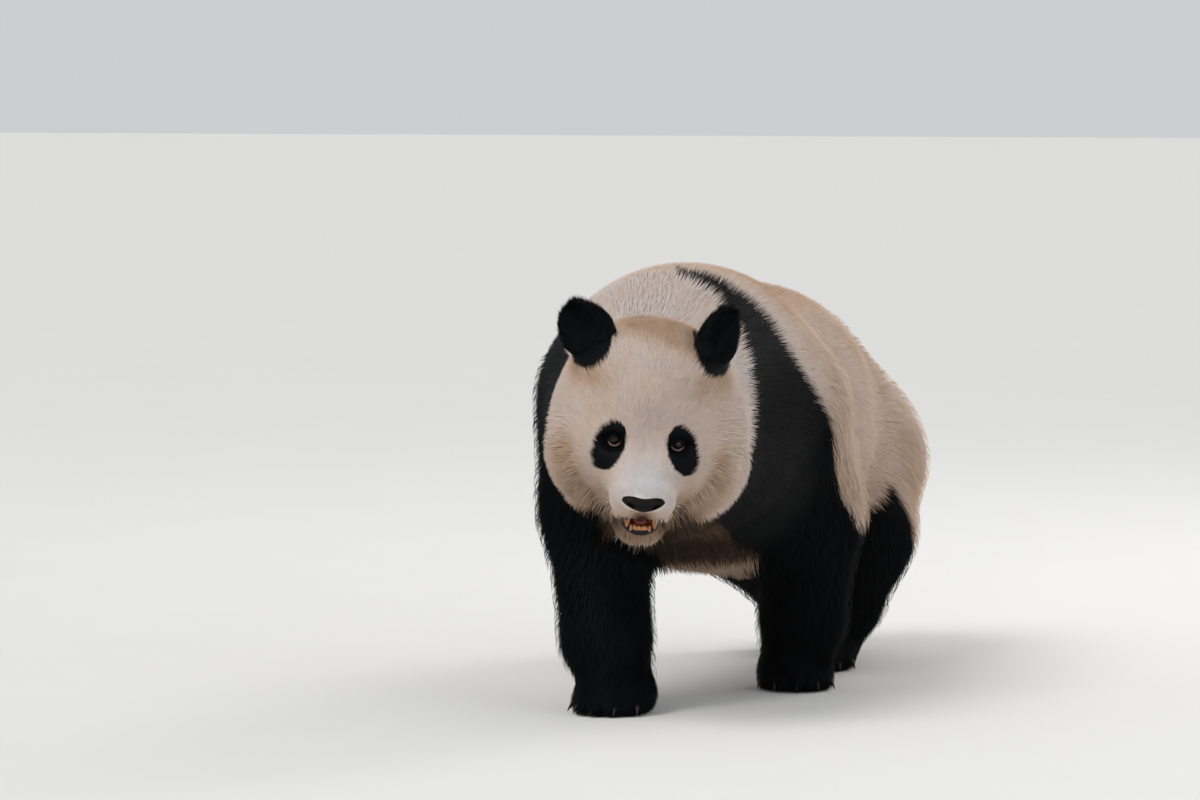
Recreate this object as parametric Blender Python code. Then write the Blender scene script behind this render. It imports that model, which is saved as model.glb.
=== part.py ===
"""Giant panda, life size, still: it walks with its head low and turned to its left, mouth a little open.

Frame: metres, +Z up. The animal faces -Y and its left is +X. The floor is z = 0 and the origin is under
the middle of the whole model. The body is one implicit form, a smooth union of ellipsoids and tapered
limbs that reaches out to the tips of the coat. It is meshed once, then parted with thin cuts into nodes.
Until main() moves it to its origin, the model is built in a working frame of its own.
"""

import math

import bmesh
import bpy
import numpy as np
import openvdb
from mathutils import Euler, Matrix, Vector

# Driving sizes, in metres
BODY_VOXEL = 0.006
NOSE_VOXEL = 0.002
GAP = 0.0003
FLESH_TRIANGLES = 3100
NOSE_TRIANGLES = 300
EYE_RADIUS = 0.0118
EYE_PLACE = Vector((0.0525, 0.0045, 0.0))
JAW_TOP = -0.1120
MOUTH_FLOOR = -0.1140
TONGUE_PLACE = (0, -0.056, JAW_TOP)
TONGUE_HALF = (0.0112, 0.0165, 0.0056)
NOSE_SEAT = -0.107

# The head's own frame has its origin between the eyes: +X to the animal's left, -Y to the nose, +Z up.
HEAD_PLACE = Vector((0.029, -0.52, 0.488))
HEAD_TURN = Euler((math.radians(22), math.radians(4.5), math.radians(18)), "XYZ")

EARS = {
    "ear_left": {"centre": (0.107, 0.118, 0.134), "turn": (0, 26, 50)},
    "ear_right": {"centre": (-0.105, 0.118, 0.132), "turn": (0, -34, -14)},
}
EAR_HALF = (0.046, 0.023, 0.060)
EAR_BASE = -0.012
EAR_CUT_TILT = 45

# Joints of each leg from the body down, its radii there, its paw, and how far the toes turn in. The boxes
# are where it is parted in plan, from the paw up; the hind legs are parted left first.
LEGS = {
    "front_right": {
        "joints": [(-0.160, -0.02, 0.52), (-0.188, -0.06, 0.340), (-0.138, -0.170, 0.120)],
        "radii": [0.130, 0.094, 0.080],
        "paw": (-0.108, -0.212, 0.0),
        "toe_turn": -14,
        "nodes": ("forepaw_right", "forearm_right", "upper_arm_right"),
        "boxes": [((-0.32, -0.40), (0.02, 0.08)), ((-0.32, -0.40), (0.02, 0.08)), ((-0.45, -0.30), (-0.05, 0.13))],
    },
    "front_left": {
        "joints": [(0.115, 0.04, 0.50), (0.142, 0.15, 0.320), (0.105, 0.245, 0.120)],
        "radii": [0.125, 0.090, 0.078],
        "paw": (0.092, 0.245, 0.0),
        "toe_turn": 16,
        "nodes": ("forepaw_left", "forearm_left", "upper_arm_left"),
        "boxes": [((-0.04, 0.05), (0.30, 0.40)), ((-0.02, 0.05), (0.30, 0.40)), ((0.02, -0.10), (0.45, 0.31))],
    },
    "hind_left": {
        "joints": [(0.070, 0.72, 0.36), (0.118, 0.61, 0.250), (0.080, 0.65, 0.110)],
        "radii": [0.148, 0.100, 0.072],
        "paw": (0.053, 0.600, 0.0),
        "toe_turn": 14,
        "nodes": ("hindpaw_left", "shank_left", "thigh_left"),
        "boxes": [((-0.06, 0.42), (0.25, 0.735)), ((0.0, 0.42), (0.28, 0.745)), ((0.05, 0.46), (0.45, 0.90))],
    },
    "hind_right": {
        "joints": [(-0.130, 0.74, 0.36), (-0.140, 0.73, 0.260), (-0.065, 0.88, 0.120)],
        "radii": [0.148, 0.100, 0.072],
        "paw": (-0.045, 0.865, 0.0),
        "toe_turn": -12,
        "nodes": ("hindpaw_right", "shank_right", "thigh_right"),
        "boxes": [((-0.20, 0.735), (0.08, 1.05)), ((-0.30, 0.58), (0.08, 1.05)), ((-0.45, 0.52), (-0.11, 0.93))],
    },
}
LEG_LEVELS = (-0.05, 0.085, 0.193, 0.46)
FRONT_PAW = {"half": (0.064, 0.080, 0.048), "toe_arc": 62}
HIND_PAW = {"half": (0.060, 0.098, 0.048), "toe_arc": 56}
TOE_HALF = (0.019, 0.032, 0.026)
TOE_COUNT = 5
CLAW_LENGTH = 0.023
CLAW_RADIUS = 0.0060

# Colours (linear), roughness
FINISHES = {
    "white_coat": ((0.63, 0.53, 0.40, 1), 0.85),
    "black_coat": ((0.012, 0.011, 0.012, 1), 0.8),
    "nose_leather": ((0.012, 0.010, 0.010, 1), 0.4),
    "eye": ((0.02, 0.009, 0.005, 1), 0.08),
    "tongue": ((0.45, 0.13, 0.10, 1), 0.4),
}


# ---------------------------------------------------------------- implicit shapes
def turned(degrees):
    """Rotation matrix of XYZ Euler degrees."""
    return np.array(Euler([math.radians(a) for a in degrees]).to_matrix())


def ellipsoid(p, centre, half, turn=(0, 0, 0)):
    """Near-exact distance to a turned ellipsoid."""
    local = (p - np.array(centre)) @ turned(turn)
    near = np.linalg.norm(local / half, axis=1)
    slope = np.linalg.norm(local / np.square(half), axis=1) + 1e-9
    return near * (near - 1) / slope


def rounded_box(p, centre, half, edge, turn=(0, 0, 0)):
    """Distance to a turned box with rounded edges."""
    out = np.abs((p - np.array(centre)) @ turned(turn)) - (np.array(half) - edge)
    return np.linalg.norm(np.maximum(out, 0), axis=1) + np.minimum(out.max(axis=1), 0) - edge


def smooth_min(a, b, blend):
    """Union of two forms with a fillet about as wide as blend."""
    mix = np.clip(0.5 + 0.5 * (b - a) / blend, 0, 1)
    return b + (a - b) * mix - blend * mix * (1 - mix)


def smooth_max(a, b, blend):
    """What two forms share, with a rounded edge."""
    return -smooth_min(-a, -b, blend)


def limb(p, joints, radii, blend=0.03):
    """Round tapered tube through the joints."""
    found = None
    for a, b, ra, rb in zip(joints, joints[1:], radii, radii[1:]):
        a, b = np.array(a), np.array(b)
        along = np.clip((p - a) @ (b - a) / ((b - a) @ (b - a)), 0, 1)
        d = np.linalg.norm(p - a - along[:, None] * (b - a), axis=1) - (ra + along * (rb - ra))
        found = d if found is None else smooth_min(found, d, blend)
    return found


def mirrored(p):
    """The same points with both sides folded onto +X."""
    return np.column_stack([np.abs(p[:, 0]), p[:, 1], p[:, 2]])


# ---------------------------------------------------------------- the animal's forms
def trunk_field(p):
    """Chest, withers, barrel, loins and rump."""
    d = ellipsoid(p, (-0.030, 0.02, 0.49), (0.225, 0.27, 0.25))
    d = smooth_min(d, ellipsoid(p, (-0.040, 0.00, 0.555), (0.215, 0.25, 0.190)), 0.06)
    d = smooth_min(d, ellipsoid(p, (-0.035, 0.38, 0.458), (0.225, 0.40, 0.262)), 0.12)
    d = smooth_min(d, ellipsoid(p, (-0.035, 0.68, 0.455), (0.135, 0.29, 0.208)), 0.10)
    d = smooth_min(d, ellipsoid(p, (-0.035, 0.70, 0.385), (0.210, 0.22, 0.182)), 0.09)
    return smooth_min(d, ellipsoid(p, (-0.035, 0.80, 0.385), (0.204, 0.185, 0.180)), 0.05)


def neck_field(p):
    return limb(p, [(-0.03, -0.10, 0.52), (-0.01, -0.34, 0.495)], [0.22, 0.170])


def head_field(q):
    """The head in its own frame, without ears, with the mouth and the eye hollows cut in."""
    s = mirrored(q)
    d = ellipsoid(q, (0, 0.130, 0.026), (0.142, 0.145, 0.130))
    d = smooth_min(d, ellipsoid(s, (0.072, 0.076, -0.044), (0.084, 0.096, 0.082)), 0.06)
    d = smooth_min(d, rounded_box(q, (0, -0.044, -0.057), (0.054, 0.070, 0.038), 0.034, (9, 0, 0)), 0.055)
    d = smooth_min(d, ellipsoid(q, (0, -0.030, -0.124), (0.046, 0.062, 0.032)), 0.03)
    d = smooth_max(d, -ellipsoid(s, (0.0525, -0.013, 0), (0.019, 0.016, 0.013)), 0.008)
    mouth = ellipsoid(q, (0, -0.080, -0.103), (0.030, 0.062, 0.013))
    return smooth_max(d, -np.maximum(mouth, MOUTH_FLOOR - q[:, 2]), 0.006)


def ear_field(q, ear):
    """A round flap whose inner side is cupped."""
    flap = ellipsoid(q, ear["centre"], EAR_HALF, ear["turn"])
    front = np.array(ear["centre"]) + turned(ear["turn"]) @ np.array((0, -0.040, 0.006))
    return smooth_max(flap, -ellipsoid(q, front, (0.031, 0.028, 0.043), ear["turn"]), 0.015)


def paw_size(leg):
    return FRONT_PAW if "forepaw" in leg["nodes"][0] else HIND_PAW


def toes(leg):
    """Centre and outward direction of each toe, in the paw's turned frame."""
    size = paw_size(leg)
    places = []
    for k in range(TOE_COUNT):
        angle = math.radians((2 * k / (TOE_COUNT - 1) - 1) * size["toe_arc"])
        way = Vector((math.sin(angle), -math.cos(angle), 0))
        centre = Vector((way.x * size["half"][0] * 0.86, way.y * size["half"][1] * 0.80, 0.019))
        places.append((centre, way))
    return places


def paw_field(p, leg):
    """Pad, toes and the ankle above them."""
    local = (p - np.array(leg["paw"])) @ turned((0, 0, leg["toe_turn"]))
    half = paw_size(leg)["half"]
    d = ellipsoid(local, (0, 0, half[2] * 0.62), half)
    for centre, _ in toes(leg):
        d = smooth_min(d, ellipsoid(local, centre, TOE_HALF), 0.012)
    low = (leg["paw"][0], leg["paw"][1], 0.045)
    ankle = limb(p, [leg["joints"][-1], low], [leg["radii"][-1], 0.048])
    return smooth_min(d, ankle, 0.05)


def tail_field(p):
    return limb(p, [(-0.035, 0.93, 0.49), (-0.035, 0.975, 0.42), (-0.033, 0.985, 0.34)], [0.045, 0.047, 0.032])


def to_head(p):
    """Points of the body's frame in the head's own frame."""
    return (p - np.array(HEAD_PLACE)) @ np.array(HEAD_TURN.to_matrix())


def body_field(p):
    """The whole animal but for nose, eyes, teeth and claws."""
    q = to_head(p)
    d = smooth_min(trunk_field(p), neck_field(p), 0.10)
    for leg in LEGS.values():
        d = smooth_min(d, limb(p, leg["joints"], leg["radii"], 0.05), 0.07)
        d = smooth_min(d, paw_field(p, leg), 0.02)
    d = smooth_min(d, head_field(q), 0.05)
    for ear in EARS.values():
        d = smooth_min(d, ear_field(q, ear), 0.012)
    return smooth_min(d, tail_field(p), 0.03)


def nose_field(q):
    """The nose pad: flat behind, with two nostrils and a shallow groove below them."""
    s = mirrored(q)
    d = ellipsoid(q, (0, -0.104, -0.060), (0.0345, 0.022, 0.0180))
    d = smooth_max(d, -ellipsoid(s, (0.0165, -0.128, -0.062), (0.0085, 0.009, 0.0055), (0, -20, 0)), 0.003)
    d = smooth_max(d, -ellipsoid(q, (0, -0.132, -0.072), (0.0015, 0.010, 0.012)), 0.003)
    return smooth_max(d, q[:, 1] - (NOSE_SEAT - GAP), 0.0015)


# ---------------------------------------------------------------- meshing
def field_mesh(name, field, low, high, voxel):
    """Closed mesh where the field is zero, sampled on a grid of cubes."""
    counts = [int(math.ceil((b - a) / voxel)) + 1 for a, b in zip(low, high)]
    axes = [a + voxel * np.arange(n) for a, n in zip(low, counts)]
    values = np.empty(counts)
    yz = np.stack(np.meshgrid(axes[1], axes[2], indexing="ij"), -1).reshape(-1, 2)
    for i, x in enumerate(axes[0]):
        values[i] = field(np.column_stack([np.full(len(yz), x), yz])).reshape(counts[1:])
    grid = openvdb.FloatGrid(background=1.0)
    grid.copyFromArray(values)
    points, quads = grid.convertToQuads(0.0)
    mesh = bpy.data.meshes.new(name)
    mesh.from_pydata((points * voxel + np.array(low)).tolist(), [], quads.tolist())
    mesh.validate()
    return mesh


def add_object(name, mesh, matrix=None):
    obj = bpy.data.objects.new(name, mesh)
    bpy.context.scene.collection.objects.link(obj)
    if matrix is not None:
        mesh.transform(matrix)
    return obj


def bake(obj):
    """Replace the object's mesh by what its modifiers make of it."""
    graph = bpy.context.evaluated_depsgraph_get()
    mesh = bpy.data.meshes.new_from_object(obj.evaluated_get(graph))
    obj.modifiers.clear()
    obj.data = mesh


def reduce_to(obj, triangles):
    """Decimate to about this many triangles."""
    bpy.context.view_layer.update()
    decimate = obj.modifiers.new("reduce", "DECIMATE")
    decimate.ratio = triangles / sum(len(face.vertices) - 2 for face in obj.data.polygons)
    bake(obj)


def combine(obj, other, operation):
    boolean = obj.modifiers.new("combine", "BOOLEAN")
    boolean.operation = operation
    boolean.object = other
    boolean.solver = "EXACT"
    bake(obj)


def box_cutter(low, high, matrix=None):
    """A box from low to high, placed by a matrix; its scale holds its half sizes."""
    low, high = Vector(low), Vector(high)
    mesh = bpy.data.meshes.new("cutter")
    bm = bmesh.new()
    bmesh.ops.create_cube(bm, size=2)
    bm.to_mesh(mesh)
    bm.free()
    cutter = add_object("cutter", mesh)
    place = Matrix.Translation((low + high) / 2)
    cutter.matrix_world = (matrix or Matrix.Identity(4)) @ place @ Matrix.Diagonal((high - low) / 2).to_4x4()
    cutter.hide_render = True
    cutter.display_type = "WIRE"
    bpy.context.view_layer.update()
    return cutter


def discard(obj):
    bpy.data.objects.remove(obj)


def part_off(body, name, low, high, matrix=None):
    """A new node keeps what the box holds, and the body keeps the rest, a thin gap away."""
    piece = add_object(name, body.data.copy())
    cutter = box_cutter(low, high, matrix)
    combine(piece, cutter, "INTERSECT")
    discard(cutter)
    margin = Vector((GAP, GAP, GAP))
    cutter = box_cutter(Vector(low) - margin, Vector(high) + margin, matrix)
    combine(body, cutter, "DIFFERENCE")
    discard(cutter)
    return piece


def ball(name, radius, matrix, subdivisions=3):
    mesh = bpy.data.meshes.new(name)
    bm = bmesh.new()
    bmesh.ops.create_icosphere(bm, subdivisions=subdivisions, radius=radius)
    bm.to_mesh(mesh)
    bm.free()
    return add_object(name, mesh, matrix)


def spike(root, tip, radius, sides=7):
    """A closed cone from root to tip."""
    way = Vector(tip) - Vector(root)
    mesh = bpy.data.meshes.new("spike")
    bm = bmesh.new()
    bmesh.ops.create_cone(
        bm, cap_ends=True, segments=sides, radius1=radius, radius2=radius * 0.12, depth=way.length
    )
    bmesh.ops.triangulate(bm, faces=bm.faces)
    bm.to_mesh(mesh)
    bm.free()
    middle = (Vector(root) + Vector(tip)) / 2
    mesh.transform(Matrix.Translation(middle) @ way.to_track_quat("Z", "Y").to_matrix().to_4x4())
    return mesh


def grow_spikes(obj, spikes, matrix):
    """Join cones to the body they grow from."""
    for mesh in spikes:
        cone = add_object("spike", mesh, matrix)
        combine(obj, cone, "UNION")
        discard(cone)


def head_matrix():
    return Matrix.Translation(HEAD_PLACE) @ HEAD_TURN.to_matrix().to_4x4()


# ---------------------------------------------------------------- the nodes
def flesh():
    """The whole animal as one body, with flat soles on the floor."""
    mesh = field_mesh("flesh", body_field, (-0.37, -0.73, -0.04), (0.30, 1.09, 0.81), BODY_VOXEL)
    body = add_object("flesh", mesh)
    reduce_to(body, FLESH_TRIANGLES)
    below = box_cutter((-1, -2, -0.5), (1, 2, 0))
    combine(body, below, "DIFFERENCE")
    discard(below)
    return body


def part_legs(body):
    """Paws, then forearms and shanks, then upper arms and thighs, from the floor up."""
    for step, (bottom, top) in enumerate(zip(LEG_LEVELS, LEG_LEVELS[1:])):
        for leg in LEGS.values():
            low, high = leg["boxes"][step]
            part_off(body, leg["nodes"][step], (*low, bottom), (*high, top))


def part_head(body):
    """Ears, lower jaw and head, in the head's own frame."""
    frame = head_matrix()
    for name, ear in EARS.items():
        tilt = math.copysign(EAR_CUT_TILT, ear["centre"][0])
        place = frame @ Matrix.Translation(ear["centre"]) @ Matrix(turned((0, tilt, 0))).to_4x4()
        part_off(body, name, (-0.075, -0.06, EAR_BASE), (0.075, 0.06, 0.09), place)
    part_off(body, "lower_jaw", (-0.080, -0.150, -0.200), (0.080, 0.030, JAW_TOP), frame)
    return part_off(body, "head", (-0.25, -0.25, -0.25), (0.25, 0.205, 0.25), frame)


def part_trunk(body):
    """Tail, neck and shoulders; what is left behind them is parted into belly and hips."""
    part_off(body, "tail", (-0.090, 0.970, 0.27), (0.022, 1.10, 0.54))
    part_off(body, "neck", (-0.40, -0.70, 0.10), (0.40, -0.165, 0.90))
    part_off(body, "shoulders", (-0.40, -0.30, 0.10), (0.40, 0.215, 0.90))
    part_off(body, "belly", (-0.40, 0.10, 0.10), (0.40, 0.53, 0.90))
    body.name = "hips"


def face_pieces(head):
    """Eyes in their sockets, and the nose pad on its seat."""
    for name, side in (("eye_left", 1), ("eye_right", -1)):
        place = head_matrix() @ Matrix.Translation((side * EYE_PLACE.x, EYE_PLACE.y, EYE_PLACE.z))
        socket = ball("socket", EYE_RADIUS + 2 * GAP, place)
        combine(head, socket, "DIFFERENCE")
        discard(socket)
        ball(name, EYE_RADIUS, place)
    seat = box_cutter((-0.045, -0.20, -0.083), (0.045, NOSE_SEAT, -0.030), head_matrix())
    combine(head, seat, "DIFFERENCE")
    discard(seat)
    mesh = field_mesh("nose", nose_field, (-0.042, -0.134, -0.086), (0.042, -0.100, -0.034), NOSE_VOXEL)
    nose = add_object("nose", mesh, head_matrix())
    reduce_to(nose, NOSE_TRIANGLES)


def mouth_pieces(head, jaw):
    """Canines and lower incisors joined to their jaws, and the tongue lying on the lower one."""
    frame = head_matrix()
    upper = [spike((side * 0.023, -0.084, -0.078), (side * 0.024, -0.092, -0.110), 0.0048) for side in (-1, 1)]
    lower = [spike((side * 0.0165, -0.084, -0.120), (side * 0.0165, -0.086, -0.105), 0.0036) for side in (-1, 1)]
    for k in range(6):
        x = (k - 2.5) * 0.0046
        y = -0.087 + abs(x) * 0.2
        lower.append(spike((x, y, -0.120), (x, y - 0.002, -0.1055), 0.0022, 5))
    grow_spikes(head, upper, frame)
    grow_spikes(jaw, lower, frame)
    tongue = ball("tongue", 1, frame @ Matrix.Translation(TONGUE_PLACE) @ Matrix.Diagonal((*TONGUE_HALF, 1)), 2)
    floor = box_cutter((-0.1, -0.2, -0.25), (0.1, 0.1, JAW_TOP + GAP), frame)
    combine(tongue, floor, "DIFFERENCE")
    discard(floor)


def grow_claws():
    """Five claws on each paw, joined to it."""
    for leg in LEGS.values():
        paw = bpy.data.objects[leg["nodes"][0]]
        claws = []
        for centre, way in toes(leg):
            root = centre + way * 0.012 + Vector((0, 0, -0.002))
            claws.append(spike(root, root + way * CLAW_LENGTH + Vector((0, 0, -0.014)), CLAW_RADIUS, 5))
        turn = Matrix.Rotation(math.radians(leg["toe_turn"]), 4, "Z")
        grow_spikes(paw, claws, Matrix.Translation(leg["paw"]) @ turn)


# ---------------------------------------------------------------- finish
def material(name):
    colour, roughness = FINISHES[name]
    made = bpy.data.materials.new(name)
    made.use_nodes = True
    shader = made.node_tree.nodes["Principled BSDF"]
    shader.inputs["Base Color"].default_value = colour
    shader.inputs["Roughness"].default_value = roughness
    made.diffuse_color = colour
    return made


def finish_of(name):
    """Slot of a node: legs, ears and the band over the shoulders are black."""
    special = {"nose": "nose_leather", "tongue": "tongue", "shoulders": "black_coat"}
    if name.startswith("eye"):
        return "eye"
    if name.startswith(("ear", "upper_arm", "fore", "thigh", "shank", "hindpaw")):
        return "black_coat"
    return special.get(name, "white_coat")


def centre_all():
    """Put the origin under the middle of the model's box, on the floor."""
    corners = np.array([vertex.co for obj in bpy.data.objects for vertex in obj.data.vertices])
    low, high = corners.min(axis=0), corners.max(axis=0)
    shift = Matrix.Translation((-(low[0] + high[0]) / 2, -(low[1] + high[1]) / 2, -low[2]))
    for obj in bpy.data.objects:
        obj.data.transform(shift)


def clear_scene():
    for obj in list(bpy.data.objects):
        bpy.data.objects.remove(obj)


def main():
    clear_scene()
    body = flesh()
    head = part_head(body)
    part_legs(body)
    part_trunk(body)
    face_pieces(head)
    mouth_pieces(head, bpy.data.objects["lower_jaw"])
    grow_claws()
    materials = {name: material(name) for name in FINISHES}
    for obj in bpy.data.objects:
        obj.data.materials.clear()
        obj.data.materials.append(materials[finish_of(obj.name)])
        obj.data.shade_smooth()
        obj.data.set_sharp_from_angle(angle=math.radians(50))
    centre_all()


main()
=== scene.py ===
# Giant panda, life size: the looks. One skin stands for the nodes of flesh and a coat of solid tufts
# grows from it; eyes, lids, nose, teeth, tongue, claws and whiskers are pieces of their own.
import math

import bpy
import numpy as np
import openvdb
from mathutils import Euler, Matrix, Vector


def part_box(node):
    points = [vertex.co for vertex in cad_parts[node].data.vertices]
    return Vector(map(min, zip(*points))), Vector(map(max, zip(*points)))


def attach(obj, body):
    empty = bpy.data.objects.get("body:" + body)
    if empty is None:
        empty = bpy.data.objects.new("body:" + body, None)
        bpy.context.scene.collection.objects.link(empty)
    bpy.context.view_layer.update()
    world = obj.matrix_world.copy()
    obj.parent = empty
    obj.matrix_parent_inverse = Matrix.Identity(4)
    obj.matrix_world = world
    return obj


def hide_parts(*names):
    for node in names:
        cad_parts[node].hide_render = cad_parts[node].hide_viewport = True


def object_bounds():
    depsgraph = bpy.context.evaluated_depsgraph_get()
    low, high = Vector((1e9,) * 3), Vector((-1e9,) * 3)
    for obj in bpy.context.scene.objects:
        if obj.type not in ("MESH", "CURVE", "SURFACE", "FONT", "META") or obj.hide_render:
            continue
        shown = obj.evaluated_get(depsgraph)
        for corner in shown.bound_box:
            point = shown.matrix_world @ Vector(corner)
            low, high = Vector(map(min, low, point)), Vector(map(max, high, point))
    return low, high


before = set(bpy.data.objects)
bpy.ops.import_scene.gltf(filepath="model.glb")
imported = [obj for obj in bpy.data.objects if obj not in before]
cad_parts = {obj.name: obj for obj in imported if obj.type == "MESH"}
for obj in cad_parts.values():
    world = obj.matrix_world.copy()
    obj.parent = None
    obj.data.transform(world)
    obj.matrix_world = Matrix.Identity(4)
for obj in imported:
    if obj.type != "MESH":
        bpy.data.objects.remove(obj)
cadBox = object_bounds()
print("frame loaded")

# Metres and degrees. The head's own frame: origin between the eyes, +X to the animal's left,
# -Y to the nose, +Z up. Places given in it are called q, places on the whole body p.
headPose = {"place": (0.029, -0.52, 0.488), "turn": (22, 4.5, 18)}
trunkForm = [  # centre, half sizes and fillet of each swelling
    ((-0.030, 0.02, 0.49), (0.225, 0.27, 0.25), 0.0),  # chest
    ((-0.040, 0.00, 0.555), (0.215, 0.25, 0.190), 0.06),  # hump
    ((-0.035, 0.38, 0.458), (0.225, 0.40, 0.262), 0.12),  # barrel
    ((-0.035, 0.68, 0.455), (0.135, 0.29, 0.208), 0.10),  # loin
    ((-0.035, 0.70, 0.385), (0.210, 0.22, 0.182), 0.09),  # hips
    ((-0.035, 0.80, 0.385), (0.204, 0.185, 0.180), 0.05),  # rump
]
neckForm = {"joints": [(-0.03, -0.10, 0.52), (-0.01, -0.34, 0.495)], "radii": [0.22, 0.170]}
tailForm = {
    "joints": [(-0.035, 0.93, 0.49), (-0.035, 0.975, 0.42), (-0.033, 0.985, 0.34)],
    "radii": [0.045, 0.047, 0.032],
}
headForm = {  # centre and half sizes; the muzzle is a box, so its edge's radius and its turn follow
    "skull": ((0, 0.130, 0.026), (0.142, 0.145, 0.130)),
    "cheek": ((0.072, 0.076, -0.044), (0.084, 0.096, 0.082)),
    "muzzle": ((0, -0.044, -0.057), (0.054, 0.070, 0.038), 0.034, (9, 0, 0)),
    "chin": ((0, -0.030, -0.124), (0.042, 0.062, 0.032)),
    "socket": ((0.0525, -0.013, 0), (0.019, 0.016, 0.013)),
    "mouth": ((0, -0.080, -0.103), (0.030, 0.062, 0.013)), "mouthFloor": -0.1140,
}
eyeForm = {"place": (0.0525, 0.0045, 0.0), "radius": 0.0118, "gaze": -15}  # looks up from the lowered head
noseForm = {
    "centre": (0, -0.102, -0.058), "half": (0.0375, 0.0235, 0.0190), "slope": 0.42,
    "low": -0.0765, "top": -0.0462, "dip": 0.0038, "dipWidth": 0.017,
    "nostril": ((0.0210, -0.1240, -0.0585), (0.0085, 0.010, 0.0030), (0, -26, 8)),
    "groove": ((0, -0.130, -0.074), (0.0013, 0.010, 0.014)),
}
earForm = {
    "half": (0.046, 0.023, 0.060), "hollowHalf": (0.031, 0.028, 0.043), "hollow": (0, -0.040, 0.006),
    "ear_left": {"centre": (0.107, 0.118, 0.134), "turn": (0, 26, 50)},
    "ear_right": {"centre": (-0.105, 0.118, 0.132), "turn": (0, -34, -14)},
}
earNames = ("ear_left", "ear_right")
legForm = {
    "front_right": {
        "joints": [(-0.160, -0.02, 0.52), (-0.188, -0.06, 0.340), (-0.138, -0.170, 0.120)],
        "radii": [0.130, 0.094, 0.080], "paw": (-0.108, -0.212, 0.0), "toeTurn": -14,
    },
    "front_left": {
        "joints": [(0.115, 0.04, 0.50), (0.142, 0.15, 0.320), (0.105, 0.245, 0.120)],
        "radii": [0.125, 0.090, 0.078], "paw": (0.092, 0.245, 0.0), "toeTurn": 16,
    },
    "hind_left": {
        "joints": [(0.070, 0.72, 0.36), (0.118, 0.61, 0.250), (0.080, 0.65, 0.110)],
        "radii": [0.148, 0.100, 0.072], "paw": (0.053, 0.600, 0.0), "toeTurn": 14,
    },
    "hind_right": {
        "joints": [(-0.130, 0.74, 0.36), (-0.140, 0.73, 0.260), (-0.065, 0.88, 0.120)],
        "radii": [0.148, 0.100, 0.072], "paw": (-0.045, 0.865, 0.0), "toeTurn": -12,
    },
}
pawForm = {
    "front": {"half": (0.064, 0.080, 0.048), "toeArc": 62},
    "hind": {"half": (0.060, 0.098, 0.048), "toeArc": 56},
    "toeHalf": (0.019, 0.032, 0.026), "toeCount": 5, "toeOut": (0.86, 0.80), "toeHeight": 0.019,
    "ankleHeight": 0.045, "ankleRadius": 0.048,
}
fillets = {
    "neck": 0.10, "leg": 0.07, "paw": 0.02, "head": 0.05, "ear": 0.012, "tail": 0.03, "sole": 0.004,
    "cheek": 0.06, "muzzle": 0.055, "chin": 0.03, "socket": 0.008, "mouth": 0.006, "hollow": 0.015,
    "joint": 0.05, "toe": 0.012, "ankle": 0.05,
}
coatDepth = {  # of the coat over the skin, the soles' height, and how softly the parts' shares mix
    "trunk": 0.0105, "neck": 0.0100, "leg": 0.0105, "paw": 0.0055, "ear": 0.0090, "tail": 0.0105,
    "muzzle": 0.0028, "cheek": 0.0078, "sole": 0.0003, "skinBlend": 0.014,
}


def vec(*values):
    return np.array(values, np.float32)


def turned(degrees):  # rows of places times this undo a turn; this times a column makes it
    return np.array(Euler([math.radians(a) for a in degrees]).to_matrix(), np.float32)


def length(v):
    return np.sqrt(np.einsum("ij,ij->i", v, v))


def unit(v):
    return v / np.maximum(length(v), 1e-9)[:, None]


def softStep(low, high, x):  # 0 before low, 1 after high, smooth between
    t = np.clip((x - low) / (high - low), 0, 1)
    return t * t * (3 - 2 * t)


def bell(x):  # 1 at 0, fading out at about 1: exp(-x x)
    return np.exp(-np.square(x))


def blob(p, centre, half):  # a bell of the place's distance from a centre, over half sizes
    return bell(length((p - vec(*centre)) / vec(*half)))


# Forms are distances, negative inside, in numpy arrays over all the places at once
def ellipsoid(p, centre, half, turn=None):  # (n - 1) n / |gradient| with n the scaled radius
    local = p - vec(*centre)
    if turn is not None:
        local = local @ turned(turn)
    near = length(local / vec(*half))
    return near * (near - 1) / (length(local / np.square(vec(*half))) + 1e-9)


def roundedBox(p, centre, half, edge, turn):  # distance to a smaller box, less the edge's radius
    out = np.abs((p - vec(*centre)) @ turned(turn)) - (vec(*half) - edge)
    return length(np.maximum(out, 0)) + np.minimum(out.max(axis=1), 0) - edge


def smoothMin(a, b, blend):  # union of two forms with a fillet
    mix = np.clip(0.5 + 0.5 * (b - a) / blend, 0, 1)
    return b + (a - b) * mix - blend * mix * (1 - mix)


def smoothMax(a, b, blend):  # overlap of two forms with a rounded edge
    return -smoothMin(-a, -b, blend)


def limb(p, joints, radii, blend=0.03):  # tapered round bars from joint to joint
    found = None
    for a, b, ra, rb in zip(joints, joints[1:], radii, radii[1:]):
        a, b = vec(*a), vec(*b)
        along = np.clip((p - a) @ (b - a) / ((b - a) @ (b - a)), 0, 1)
        d = length(p - a - along[:, None] * (b - a)) - (ra + along * (rb - ra))
        found = d if found is None else smoothMin(found, d, blend)
    return found


def mirrored(q):  # both sides of the head as its left one
    return np.column_stack([np.abs(q[:, 0]), q[:, 1], q[:, 2]])


def fromEye(q, y):  # way from a point at the nearer eye, y behind the line between the eyes
    return mirrored(q) - vec(eyeForm["place"][0], y, 0)


def trunkShape(p):  # ellipsoids, each joined to those before it
    d = ellipsoid(p, *trunkForm[0][:2])
    for centre, half, fillet in trunkForm[1:]:
        d = smoothMin(d, ellipsoid(p, centre, half), fillet)
    return d


def mouthShape(q):  # a flat lying ellipsoid
    return ellipsoid(q, *headForm["mouth"])


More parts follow.
